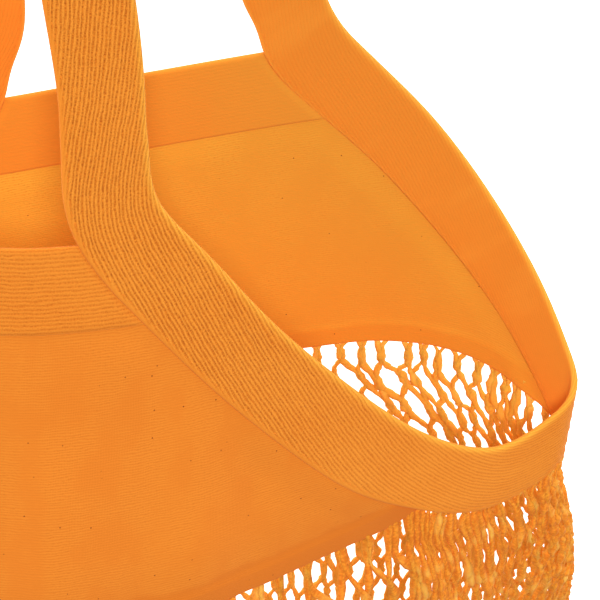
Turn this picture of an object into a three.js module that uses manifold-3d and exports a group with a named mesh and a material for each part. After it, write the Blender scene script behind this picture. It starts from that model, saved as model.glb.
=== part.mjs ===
// A cotton grocery bag laid on its back: two cloth panels with folded top bands, one folded twill
// tape that binds the mouth and makes both handles, and a knotted net body.
// Millimetres. +X runs across the bag, +Y from the net to the handles, and +Z is up from the floor.
// The bag's cloth has two coordinates of its own: girth, measured round the bag from the middle of
// its back, and depth, measured down from the panels' top edges (negative along the handles).
import * as THREE from "three";
import { mergeVertices } from "three/addons/utils/BufferGeometryUtils.js";
import Module from "manifold-3d";

// Overall sizes of the bag
const HALF_GIRTH = 420;
const PANEL_DEPTH = 135.6;
const NET_DEPTH = 250;
const TAPE_WIDTH = 28;
const BAND_DEPTH = 29.8;
const HANDLE_RISE = 250;

// Thicknesses of cloth, tape and cord
const CLOTH_THICKNESS = 0.8;
const LEAF_THICKNESS = 1.1;
const SLOT_WIDTH = 1.5;
const CORD_WIDTH = 5;
const CORD_THICKNESS = 2.6;
const CLOTH_GAP = 0.5;
const BAND_GAP = 2.6;

// How the bag lies: heights of its front above its back, how its front slips and leans, and how far
// its net runs off to the side on its way to the foot
const MOUTH_HEIGHT = 64.2;
const CROWN_HEIGHT = 112.5;
const FOOT_HEIGHT = 10;
const FOOT_SLOPE = -0.25;
const HANDLE_HEIGHT = 11;
const HANDLE_EASE = 8;
const TWIST = 29.2;
const LEAN = 0.163;
const FRONT_SLIP = -21.3;
const FRONT_SKEW = -0.064;
const BACK_SKEW = 0.136;
const NET_TAPER = 0.2;
const NET_SWAY = 36;
const SWAY_SLOPE = 0.44;

// Form of the cross-section: height of its side fold, and the powers of its two curves
const FOLD_SHARE = 0.507;
const BACK_POWER = 5.13;
const ROOF_POWER = 1.6;
const ROOF_FULLNESS = 1.35;
const FOLD_ROUNDING = 10;

// Course of the tape on the flat cloth, its roll at the top of each handle, and the cloth inside it
const EDGE_TOP_GIRTH = 68.2;
const EDGE_TOP_DEPTH = 8.6;
const SIDE_ROUNDNESS = 0.323;
const LEG_BEND_RADIUS = 75.8;
const FRONT_ROLL = THREE.MathUtils.degToRad(40);
const BACK_ROLL = THREE.MathUtils.degToRad(12);
const ROLL_LENGTH = 145;
const TUCK = 8;

// How the front handle's legs bow out above its band and then lean in to its top: each as a share of
// their spacing, and the heights above the panel's top edge between which it comes about
const FRONT_BOW = { share: 0.084, low: 3, high: 33 };
const FRONT_LEAN = { share: 0.3, low: 25, high: 150 };

// The net: strands round the bag, rows down it, and how far neighbours swing to meet at a knot
const NET_STRANDS = 36;
const NET_ROWS = 10;
const NET_OVERLAP = 10;
const NET_BORDER = 5;
const KNOT_DEPTH = 6;
const STRAND_SWING = 5.5;
const NET_INSET = 4.5;
const NET_EASE = 30;
const SEAM_WIDTH = 9;
const SEAM_INSET = 0.7;

// Steps of the tape down a handle, a band, a panel's edge and the side, and of the cloth across
const COURSE_STEPS = [20, 3, 10, 6];
const PANEL_COLUMNS = 14;
const OUTLINE_STEPS = 60;

// Sizes that follow from those above
const NET_TOP = PANEL_DEPTH - NET_OVERLAP;
const NET_END = PANEL_DEPTH + NET_DEPTH;
const HALF_TAPE = TAPE_WIDTH / 2;
const HALF_SLOT = SLOT_WIDTH / 2;
const TAPE_OUT = HALF_SLOT + LEAF_THICKNESS;
const SLOT_END = HALF_TAPE - 2 * LEAF_THICKNESS;
const BAND_OUT = TAPE_OUT - 0.2;
const TAPE_LOW = PANEL_DEPTH + HALF_TAPE;
const NORMAL_REACH = 1.5;

const { clamp, lerp, smoothstep } = THREE.MathUtils;
const wasm = await Module();
wasm.setup();

const netShare = (depth) => (depth - PANEL_DEPTH) / NET_DEPTH;
const settled = (depth) => smoothstep(netShare(depth), 0, 1);
const girthAt = (depth) => HALF_GIRTH * (1 - NET_TAPER * settled(depth));

// How far the net has run to the side, from just below the tape
function netSway(depth) {
  const below = Math.max(depth - TAPE_LOW, 0);
  return NET_SWAY * (1 - Math.exp((-SWAY_SLOPE * below) / NET_SWAY));
}

// Height of the bag's front above its back
function roofHeight(depth) {
  const slope = (CROWN_HEIGHT - MOUTH_HEIGHT) / PANEL_DEPTH;
  if (depth > PANEL_DEPTH) {
    const t = Math.min(netShare(depth), 1);
    const start = (1 - t) ** 2 * ((1 + 2 * t) * CROWN_HEIGHT + t * NET_DEPTH * slope);
    return start + t * t * ((3 - 2 * t) * FOOT_HEIGHT + (t - 1) * NET_DEPTH * FOOT_SLOPE);
  }
  const above = MOUTH_HEIGHT + slope * depth - HANDLE_HEIGHT;
  return HANDLE_HEIGHT + HANDLE_EASE * Math.log1p(Math.exp(above / HANDLE_EASE));
}

function arcLengths(points) {
  const arc = [0];
  for (let i = 1; i < points.length; i++) {
    arc.push(arc[i - 1] + points[i].distanceTo(points[i - 1]));
  }
  return arc;
}

function pointAlong(points, arc, distance) {
  let i = 1;
  while (i < arc.length - 1 && arc[i] < distance) i++;
  const share = (distance - arc[i - 1]) / (arc[i] - arc[i - 1]);
  return points[i - 1].clone().lerp(points[i], share);
}

// One half of the cross-section, from the middle of the back round the side to the middle of the front
function sharpOutline(halfWidth, height) {
  const fold = FOLD_SHARE * height;
  const points = [];
  for (let i = 0; i <= 2 * OUTLINE_STEPS; i++) {
    const x = Math.sin((i / OUTLINE_STEPS) * (Math.PI / 2));
    const roof = (height - fold) * Math.max(1 - x ** ROOF_POWER, 0) ** ROOF_FULLNESS;
    const z = i <= OUTLINE_STEPS ? fold * x ** BACK_POWER : fold + roof;
    points.push(new THREE.Vector2(x * halfWidth, z));
  }
  return points;
}

// The same half at even steps, with its side fold rounded
function roundOutline(halfWidth, height) {
  const sharp = sharpOutline(halfWidth, height);
  const arc = arcLengths(sharp);
  const points = [];
  for (let i = 0; i <= 2 * OUTLINE_STEPS; i++) {
    const here = (i / (2 * OUTLINE_STEPS)) * arc.at(-1);
    const reach = Math.min(FOLD_ROUNDING, here, arc.at(-1) - here);
    const around = [-1, -0.5, 0, 0.5, 1].map((share) => pointAlong(sharp, arc, here + share * reach));
    const sum = around.reduce((total, point) => total.add(point), new THREE.Vector2());
    points.push(sum.divideScalar(around.length));
  }
  return points;
}

const knownOutlines = new Map();

// The cross-section at a depth, as wide as the cloth's girth allows
function outlineAt(depth) {
  const key = depth.toFixed(3);
  if (!knownOutlines.has(key)) {
    const height = roofHeight(depth);
    let narrow = girthAt(depth) / 4;
    let wide = girthAt(depth);
    for (let i = 0; i < 25; i++) {
      const middle = (narrow + wide) / 2;
      if (arcLengths(roundOutline(middle, height)).at(-1) > girthAt(depth)) wide = middle;
      else narrow = middle;
    }
    const points = roundOutline(narrow, height);
    knownOutlines.set(key, { points, arc: arcLengths(points), height });
  }
  return knownOutlines.get(key);
}

// A point of the cloth as the bag lies
function clothPoint(girth, depth) {
  const turn = (girth + TWIST) / HALF_GIRTH;
  const share = turn - 2 * Math.round(turn / 2);
  const { points, arc, height } = outlineAt(depth);
  const point = pointAlong(points, arc, Math.abs(share) * arc.at(-1));
  const x = Math.sign(share) * point.x;
  const front = point.y / height;
  const loose = 1 - settled(depth);
  const slip = front * (FRONT_SLIP + FRONT_SKEW * x) + (1 - front) * BACK_SKEW * x;
  return new THREE.Vector3(x - loose * LEAN * point.y + netSway(depth), loose * slip - depth, point.y);
}

// A point at a distance out from the cloth
function place(girth, depth, out) {
  const across = clothPoint(girth + NORMAL_REACH, depth).sub(clothPoint(girth - NORMAL_REACH, depth));
  const down = clothPoint(girth, depth + NORMAL_REACH).sub(clothPoint(girth, depth - NORMAL_REACH));
  return clothPoint(girth, depth).addScaledVector(across.cross(down).normalize(), out);
}

// A quarter of the tape's middle line on the flat cloth, from the top of a handle down its leg and
// along the panel's edge to the lowest point at the side of the mouth
function quarterCourse() {
  const fullRise = Math.hypot(1, SIDE_ROUNDNESS) - SIDE_ROUNDNESS;
  const edge = [];
  for (let i = 0; i <= 200; i++) {
    const away = 1 - i / 200;
    const rise = (Math.hypot(away, SIDE_ROUNDNESS) - SIDE_ROUNDNESS) / fullRise;
    const girth = lerp(HALF_GIRTH / 2, EDGE_TOP_GIRTH, away);
    edge.push(new THREE.Vector2(girth, lerp(PANEL_DEPTH, EDGE_TOP_DEPTH, rise)));
  }
  const slant = edge[1].clone().sub(edge[0]).angle();
  const legGirth = EDGE_TOP_GIRTH - LEG_BEND_RADIUS * (1 - Math.sin(slant));
  const bendDepth = EDGE_TOP_DEPTH - LEG_BEND_RADIUS * Math.cos(slant);
  const course = [];
  for (let i = 0; i <= 60; i++) {
    const angle = (i / 60) * (Math.PI / 2);
    const depth = legGirth * (1 - Math.cos(angle)) - HANDLE_RISE;
    course.push(new THREE.Vector2(legGirth * Math.sin(angle), depth));
  }
  for (let i = 0; i < 60; i++) {
    const angle = lerp(Math.PI / 2, slant, i / 60);
    const girth = legGirth + LEG_BEND_RADIUS * (1 - Math.sin(angle));
    course.push(new THREE.Vector2(girth, bendDepth + LEG_BEND_RADIUS * Math.cos(angle)));
  }
  return course.concat(edge);
}

const openEdgeDepth = ({ point, toFold }) => point.y - toFold.y * HALF_TAPE;

// Stations along that quarter: a point of the middle line, the flat direction to the tape's folded
// edge, and how much of its roll the tape has where the handle turns round
function quarterStations() {
  const course = quarterCourse();
  const arc = arcLengths(course);
  const end = arc.at(-1);
  const stationAt = (distance) => {
    const ahead = pointAlong(course, arc, Math.min(distance + NORMAL_REACH, end));
    const along = ahead.sub(pointAlong(course, arc, Math.max(distance - NORMAL_REACH, 0))).normalize();
    const toFold = new THREE.Vector2(along.y, -along.x);
    const roll = 1 - smoothstep(distance, 0, ROLL_LENGTH);
    return { point: pointAlong(course, arc, distance), toFold, roll };
  };
  const distanceAt = (depth) => {
    let near = ROLL_LENGTH;
    let far = end;
    for (let i = 0; i < 40; i++) {
      const middle = (near + far) / 2;
      if (openEdgeDepth(stationAt(middle)) < depth) near = middle;
      else far = middle;
    }
    return near;
  };
  const marks = [0, distanceAt(0), distanceAt(BAND_DEPTH), distanceAt(PANEL_DEPTH), end];
  const stations = COURSE_STEPS.flatMap((count, part) =>
    Array.from({ length: count }, (_, i) => stationAt(lerp(marks[part], marks[part + 1], i / count))),
  );
  return stations.concat(stationAt(end));
}

const QUARTER = quarterStations();
const BAND_ROWS = COURSE_STEPS[1];
const PANEL_ROWS = COURSE_STEPS[1] + COURSE_STEPS[2];
const PANEL_STATIONS = QUARTER.slice(COURSE_STEPS[0], COURSE_STEPS[0] + PANEL_ROWS + 1);

// Spacing of the front handle's legs at a depth, as a share of that of the back handle's
function frontSpacing(depth) {
  const reached = ({ share, low, high }) => share * smoothstep(-depth, low, high);
  return 1 + reached(FRONT_BOW) - reached(FRONT_LEAN);
}

// A station carried to a quarter of the bag: towards more girth or less, from its back or its front
function carried(station, direction, inFront) {
  const spacing = inFront ? frontSpacing(station.point.y) : 1;
  return {
    girth: (inFront ? HALF_GIRTH : 0) + direction * spacing * station.point.x,
    depth: station.point.y,
    foldGirth: direction * station.toFold.x,
    foldDepth: station.toFold.y,
    roll: station.roll * (inFront ? -FRONT_ROLL : BACK_ROLL),
  };
}

// A point of the tape's section, with across measured from its middle line to its folded edge
function tapePoint(station, across, out) {
  const inward = across - HALF_TAPE;
  const flat = HALF_TAPE + inward * Math.cos(station.roll) - out * Math.sin(station.roll);
  const lifted = inward * Math.sin(station.roll) + out * Math.cos(station.roll);
  const depth = station.depth + station.foldDepth * flat;
  return place(station.girth + station.foldGirth * flat, depth, lifted);
}

function geometryOf(vertices, triangles) {
  const geometry = new THREE.BufferGeometry();
  const positions = vertices.flatMap((vertex) => vertex.toArray());
  geometry.setAttribute("position", new THREE.Float32BufferAttribute(positions, 3));
  geometry.setIndex(triangles.flat());
  geometry.computeVertexNormals();
  return geometry;
}

// Walls between neighbouring rings of points
function ringWalls(rings, ringSize, closed) {
  const triangles = [];
  const joins = closed ? rings : rings - 1;
  for (let i = 0; i < joins; i++) {
    const next = (i + 1) % rings;
    for (let k = 0; k < ringSize; k++) {
      const beside = (k + 1) % ringSize;
      const [a, b] = [i * ringSize + k, i * ringSize + beside];
      const [c, d] = [next * ringSize + k, next * ringSize + beside];
      triangles.push([a, d, b], [a, c, d]);
    }
  }
  return triangles;
}

// The folded tape, one closed loop: two leaves joined by a round fold, open towards the cloth
function tapeLoop() {
  const section = [
    [-HALF_TAPE, -TAPE_OUT],
    [HALF_TAPE - TAPE_OUT, -TAPE_OUT],
    [HALF_TAPE, -TAPE_OUT / 2],
    [HALF_TAPE, TAPE_OUT / 2],
    [HALF_TAPE - TAPE_OUT, TAPE_OUT],
    [-HALF_TAPE, TAPE_OUT],
    [-HALF_TAPE, HALF_SLOT],
    [SLOT_END, HALF_SLOT],
    [SLOT_END, -HALF_SLOT],
    [-HALF_TAPE, -HALF_SLOT],
  ];
  const down = QUARTER.slice(0, -1);
  const up = QUARTER.slice(1).reverse();
  const loop = [
    ...down.map((station) => carried(station, 1, false)),
    ...up.map((station) => carried(station, -1, true)),
    ...down.map((station) => carried(station, 1, true)),
    ...up.map((station) => carried(station, -1, false)),
  ];
  const vertices = loop.flatMap((station) => section.map(([across, out]) => tapePoint(station, across, out)));
  return geometryOf(vertices, ringWalls(loop.length, section.length, true));
}

// Places across a panel at one station, from one tape's open edge to the other's, less a trim
function rowPlaces(station, inFront, trim) {
  const halfWidth = station.point.x - station.toFold.x * HALF_TAPE;
  const middle = inFront ? HALF_GIRTH : 0;
  return Array.from({ length: PANEL_COLUMNS + 1 }, (_, i) => {
    const away = clamp(halfWidth * ((2 * i) / PANEL_COLUMNS - 1), trim - halfWidth, halfWidth - trim);
    return (out, higher = 0) => place(middle + away, openEdgeDepth(station) - higher, out);
  });
}

// A place inside the tape's slot, on the straight line between the slot's edge and its end
function tuckedPlace(station, direction, inFront) {
  const end = carried(station, direction, inFront);
  const share = (HALF_TAPE + TUCK) / (HALF_TAPE + SLOT_END);
  return (out) => tapePoint(end, -HALF_TAPE, out).lerp(tapePoint(end, SLOT_END, out), share);
}

// A cloth panel: a thin closed sheet whose slanted edges lie in the tape's slot
function clothPanel(inFront) {
  const rows = PANEL_STATIONS.map((station) => [
    tuckedPlace(station, -1, inFront),
    ...rowPlaces(station, inFront, 0),
    tuckedPlace(station, 1, inFront),
  ]);
  const width = rows[0].length;
  const half = CLOTH_THICKNESS / 2;
  const ring = (column) => [
    ...rows.map((row) => row[column](half)),
    ...rows.map((row) => row[column](-half)).reverse(),
  ];
  const vertices = rows[0].flatMap((_, column) => ring(column));
  const size = 2 * rows.length;
  const triangles = ringWalls(width, size, false);
  const last = (width - 1) * size;
  for (let i = 0; i < rows.length - 1; i++) {
    const j = size - 1 - i;
    triangles.push([i, i + 1, j - 1], [i, j - 1, j]);
    triangles.push([last + i, last + j - 1, last + i + 1], [last + i, last + j, last + j - 1]);
  }
  return geometryOf(vertices, triangles);
}

// A top band: a strip folded over the panel's top edge, as two leaves with the cloth between
function topBand(inFront) {
  const rows = PANEL_STATIONS.slice(0, BAND_ROWS + 1).map((station) => rowPlaces(station, inFront, BAND_GAP));
  const depths = PANEL_STATIONS.slice(0, BAND_ROWS + 1).map(openEdgeDepth);
  const ceiling = CLOTH_GAP;
  const fold = ceiling + LEAF_THICKNESS;
  const leaf = (out) => rows.map((_, row) => [row, out, 0]);
  const slot = (out) => [[0, out, ceiling], ...leaf(out).slice(1)];
  const section = [
    ...leaf(BAND_OUT),
    ...slot(HALF_SLOT).reverse(),
    ...slot(-HALF_SLOT),
    ...leaf(-BAND_OUT).reverse(),
    [0, -HALF_SLOT, fold],
    [0, HALF_SLOT, fold],
  ];
  const vertices = rows[0].flatMap((_, column) =>
    section.map(([row, out, higher]) => rows[row][column](out, higher)),
  );
  const triangles = ringWalls(PANEL_COLUMNS + 1, section.length, false);
  const contour = section.map(([row, out, higher]) => new THREE.Vector2(depths[row] - higher, out));
  const last = PANEL_COLUMNS * section.length;
  const { area, triangulateShape } = THREE.ShapeUtils;
  for (const [a, b, c] of triangulateShape(contour, [])) {
    const follows = area([contour[a], contour[b], contour[c]]) * area(contour) > 0;
    const [d, e] = follows ? [b, c] : [c, b];
    triangles.push([a, d, e], [last + a, last + e, last + d]);
  }
  return geometryOf(vertices, triangles);
}

// Lines down the net, as shares of its depth, with the row of the knots that lie between two lines
function netLines() {
  const share = (length) => length / (NET_END - NET_TOP);
  const lines = [{ down: 0 }, { down: share(NET_BORDER) }];
  for (let row = 1; row < NET_ROWS; row++) {
    const middle = row / NET_ROWS;
    const half = share(KNOT_DEPTH / 2);
    lines.push({ down: middle - half, row }, { down: middle + half, row });
  }
  return lines.concat([{ down: 1 - share(NET_BORDER) }, { down: 1 }]);
}

// Depth of the net's top: inside the panels' hems, and just below the tape at the sides
function netTop(girth) {
  const turn = Math.abs(girth / HALF_GIRTH - Math.round(girth / HALF_GIRTH)) * HALF_GIRTH;
  const openGirth = ({ point, toFold }) => point.x - toFold.x * HALF_TAPE;
  const beyond = QUARTER.findIndex((station, i) => i > COURSE_STEPS[0] && openGirth(station) >= turn);
  const station = QUARTER[beyond < 0 ? QUARTER.length - 1 : beyond];
  return Math.max(NET_TOP, openEdgeDepth(station) + BAND_GAP);
}

// The net is inside the panels and the tape, and comes out to their own surface below them
function netOffset(depth) {
  const ease = smoothstep(depth, TAPE_LOW, TAPE_LOW + NET_EASE);
  return lerp(-NET_INSET, TAPE_OUT - CORD_THICKNESS / 2, ease);
}

// The knotted net as one closed mesh: strands that swing to meet their neighbours at the knots
function netMesh() {
  const lines = netLines();
  const columns = 2 * NET_STRANDS;
  const pitch = (2 * HALF_GIRTH) / NET_STRANDS;
  const meets = (strand, row) => (strand + row) % 2 === 0;
  const vertices = [];
  for (const side of [1, -1]) {
    for (const { down, row } of lines) {
      for (let column = 0; column < columns; column++) {
        const strand = Math.floor(column / 2);
        const edge = column % 2 ? CORD_WIDTH / 2 : -CORD_WIDTH / 2;
        const swing = row === undefined ? 0 : STRAND_SWING * (meets(strand, row) ? 1 : -1);
        const girth = strand * pitch + swing + edge;
        const depth = lerp(netTop(girth), NET_END, down);
        vertices.push(place(girth, depth, netOffset(depth) + (side * CORD_THICKNESS) / 2));
      }
    }
  }
  const kept = (band, column) => {
    if (band < 0 || band >= lines.length - 1) return false;
    if (column % 2 === 0 || band === 0 || band === lines.length - 2) return true;
    const { row } = lines[band];
    return row !== undefined && row === lines[band + 1].row && meets(Math.floor(column / 2), row);
  };
  const layer = lines.length * columns;
  const at = (line, column) => line * columns + ((column + columns) % columns);
  const triangles = [];
  const quad = (a, b, c, d) => triangles.push([a, b, c], [a, c, d]);
  const wall = (a, b) => quad(a, b, b + layer, a + layer);
  for (let band = 0; band < lines.length - 1; band++) {
    for (let column = 0; column < columns; column++) {
      if (!kept(band, column)) continue;
      const corners = [at(band, column), at(band + 1, column), at(band + 1, column + 1), at(band, column + 1)];
      const [a, b, c, d] = corners;
      quad(d, c, b, a);
      quad(a + layer, b + layer, c + layer, d + layer);
      if (!kept(band, (column + columns - 1) % columns)) wall(a, b);
      if (!kept(band + 1, column)) wall(b, c);
      if (!kept(band, (column + 1) % columns)) wall(c, d);
      if (!kept(band - 1, column)) wall(d, a);
    }
  }
  return geometryOf(vertices, triangles);
}

// The gathered seam that closes the foot of the net: a bar with round ends
function footSeam() {
  const { points } = outlineAt(NET_END);
  const reach = Math.max(...points.map((point) => point.x));
  const shape = new THREE.Shape();
  shape.absarc(reach, -NET_END, SEAM_WIDTH / 2, -Math.PI / 2, Math.PI / 2);
  shape.absarc(-reach, -NET_END, SEAM_WIDTH / 2, Math.PI / 2, (3 * Math.PI) / 2);
  const proud = TAPE_OUT - SEAM_INSET;
  const depth = FOOT_HEIGHT + 2 * proud;
  const bar = new THREE.ExtrudeGeometry(shape, { depth, bevelEnabled: false, curveSegments: 6 });
  return bar.translate(netSway(NET_END), 0, -proud);
}

function solidOf(geometry) {
  const bare = geometry.clone();
  bare.deleteAttribute("normal");
  bare.deleteAttribute("uv");
  const merged = mergeVertices(bare, 1e-4);
  const vertProperties = new Float32Array(merged.attributes.position.array);
  const triVerts = new Uint32Array(merged.index.array);
  return new wasm.Manifold(new wasm.Mesh({ numProp: 3, vertProperties, triVerts }));
}

function joined(first, second) {
  const { vertProperties, triVerts } = solidOf(first).add(solidOf(second)).getMesh();
  const geometry = new THREE.BufferGeometry();
  geometry.setAttribute("position", new THREE.BufferAttribute(vertProperties, 3));
  geometry.setIndex(new THREE.BufferAttribute(triVerts, 1));
  geometry.computeVertexNormals();
  return geometry;
}

// Cotton finishes
const cotton = (color, roughness) => new THREE.MeshStandardMaterial({ color, roughness, metalness: 0 });
const PANEL_COTTON = cotton(0xf3922c, 0.9);
const TAPE_COTTON = cotton(0xf79632, 0.85);
const CORD_COTTON = cotton(0xf28f28, 0.92);

const bag = new THREE.Group();

function addPiece(name, geometry, material) {
  const piece = new THREE.Mesh(geometry, material);
  piece.name = name;
  bag.add(piece);
}

addPiece("front_panel", clothPanel(true), PANEL_COTTON);
addPiece("back_panel", clothPanel(false), PANEL_COTTON);
addPiece("front_top_band", topBand(true), TAPE_COTTON);
addPiece("back_top_band", topBand(false), TAPE_COTTON);
addPiece("handle_tape", tapeLoop(), TAPE_COTTON);
addPiece("net_body", joined(netMesh(), footSeam()), CORD_COTTON);

// The origin is on the floor, under the middle of the whole bag
const box = new THREE.Box3().setFromObject(bag);
const middle = box.getCenter(new THREE.Vector3());
bag.position.set(-middle.x, -middle.y, -box.min.z);

export default bag;
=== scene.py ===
"""Dresses a cotton mesh grocery bag that lies open on its back.

The bag has two cloth panels with folded top bands, one folded twill tape that binds the mouth and
makes both handles, and a knotted net body that is bound at its foot. Its cloth has two coordinates:
girth, measured round the bag from the middle of its back, and depth, measured down from the panels'
top edges and negative up the handles. Everything is in metres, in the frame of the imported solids.
"""
from __future__ import annotations

import logging
import math
from dataclasses import dataclass, field
from enum import Enum
from typing import Any, Callable, Sequence

import bpy
import numpy as np
from mathutils import Matrix, Vector


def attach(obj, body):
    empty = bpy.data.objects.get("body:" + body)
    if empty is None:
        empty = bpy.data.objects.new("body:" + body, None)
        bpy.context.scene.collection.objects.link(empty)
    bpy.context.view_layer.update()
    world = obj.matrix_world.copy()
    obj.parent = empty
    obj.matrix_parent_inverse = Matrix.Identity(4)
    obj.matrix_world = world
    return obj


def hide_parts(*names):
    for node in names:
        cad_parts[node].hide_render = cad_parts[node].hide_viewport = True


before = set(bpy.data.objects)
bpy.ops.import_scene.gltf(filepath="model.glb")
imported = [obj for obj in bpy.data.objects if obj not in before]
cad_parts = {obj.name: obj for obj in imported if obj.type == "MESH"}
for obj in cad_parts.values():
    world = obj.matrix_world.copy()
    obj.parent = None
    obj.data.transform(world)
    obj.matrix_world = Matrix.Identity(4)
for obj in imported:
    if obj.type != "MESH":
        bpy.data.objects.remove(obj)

MM = 0.001
BODY = "root"
IMAGE_PIXELS = 600
UV_NAME = "Cloth"
FLOOR_CLEARANCE = 0.1 * MM
LAST_CELL = 1e-6
TINY = 1e-12
SHEEN_ROUGHNESS = 0.6
COTTON_GLOSS = 0.15
WHITE = (1.0, 1.0, 1.0, 1.0)
COLOUR_MIX_INPUTS = (0, 6, 7)
COLOUR_MIX_OUTPUT = 2
LOG = logging.getLogger("grocery_bag")

Colour = tuple[float, float, float]
Range = tuple[float, float]
Lump = tuple[float, float]


class Side(Enum):
    """The two cloth sides of the bag as it lies."""

    BACK = "back"
    FRONT = "front"


class Slot(Enum):
    """The record's material slots."""

    PANEL = "panel_cotton"
    TAPE = "twill_tape"
    CORD = "net_cord"


def smooth(value: Any, low: float, high: float) -> Any:
    """Eases from 0 at low to 1 at high.

    Args:
        value: A number or an array.
        low: Where the ease starts.
        high: Where the ease ends.

    Returns:
        The eased share, of the same form as value.
    """
    share = np.clip((value - low) / (high - low), 0, 1)
    return share * share * (3 - 2 * share)


def lerp(start: Any, end: Any, share: Any) -> Any:
    """Returns the value at a share of the way from start to end."""
    return start + (end - start) * share


def unit(vectors: np.ndarray) -> np.ndarray:
    """Returns vectors scaled to length one."""
    return vectors / np.maximum(np.linalg.norm(vectors, axis=-1, keepdims=True), TINY)


def rounded(share: Any, start: float) -> Any:
    """Swells as a round edge does, from the root of start at a share of 0 to 1 at a share of 1."""
    return np.sqrt(start + (1 - start) * (1 - (1 - share) ** 2))


def above_floor(points: np.ndarray) -> np.ndarray:
    """Returns the points with none of them lower than the floor's clearance."""
    points[..., 2] = np.maximum(points[..., 2], FLOOR_CLEARANCE)
    return points


def arc_lengths(points: np.ndarray) -> np.ndarray:
    """Returns the length along a line of points from the first to each of them."""
    steps = np.linalg.norm(np.diff(points, axis=-2), axis=-1)
    return np.concatenate([np.zeros((*steps.shape[:-1], 1)), np.cumsum(steps, axis=-1)], axis=-1)


def points_along(points: np.ndarray, arc: np.ndarray, distance: np.ndarray) -> np.ndarray:
    """Returns the points at distances along a line of points.

    Args:
        points: The line's points in a plane.
        arc: Length from the first point to each point.
        distance: Lengths along the line.

    Returns:
        A point for each distance.
    """
    return np.stack([np.interp(distance, arc, points[:, axis]) for axis in range(2)], -1)


def from_screen(red: int, green: int, blue: int) -> Colour:
    """Turns screen values from 0 to 255 into a linear colour.

    Args:
        red: The red screen value.
        green: The green screen value.
        blue: The blue screen value.

    Returns:
        The three linear channels.
    """
    shares = [channel / 255 for channel in (red, green, blue)]
    linear = [s / 12.92 if s <= 0.04045 else ((s + 0.055) / 1.055) ** 2.4 for s in shares]
    return linear[0], linear[1], linear[2]


@dataclass(frozen=True)
class SoftNoise:
    """Smooth seeded noise between -1 and 1 over girth and depth, without a seam round the girth."""

    seed: int
    across: float
    down: float = 1.0
    period: float = 840 * MM
    rows: int = 64

    def at(self, girth: Any, depth: Any = 0.0) -> np.ndarray:
        """Samples the noise.

        Args:
            girth: Places round the bag.
            depth: Places down the bag.

        Returns:
            The noise at each place.
        """
        columns = max(round(self.period / self.across), 2)
        grid = np.random.default_rng(self.seed).uniform(-1, 1, (self.rows, columns))
        x = np.asarray(girth) * columns / self.period
        y = np.asarray(depth) / self.down
        i = np.floor(x).astype(int)
        j = np.floor(y).astype(int)
        share_x = smooth(x - i, 0, 1)
        share_y = smooth(y - j, 0, 1)
        upper = lerp(grid[j % self.rows, i % columns], grid[j % self.rows, (i + 1) % columns], share_x)
        below = (j + 1) % self.rows
        lower = lerp(grid[below, i % columns], grid[below, (i + 1) % columns], share_x)
        return lerp(upper, lower, share_y)


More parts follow.
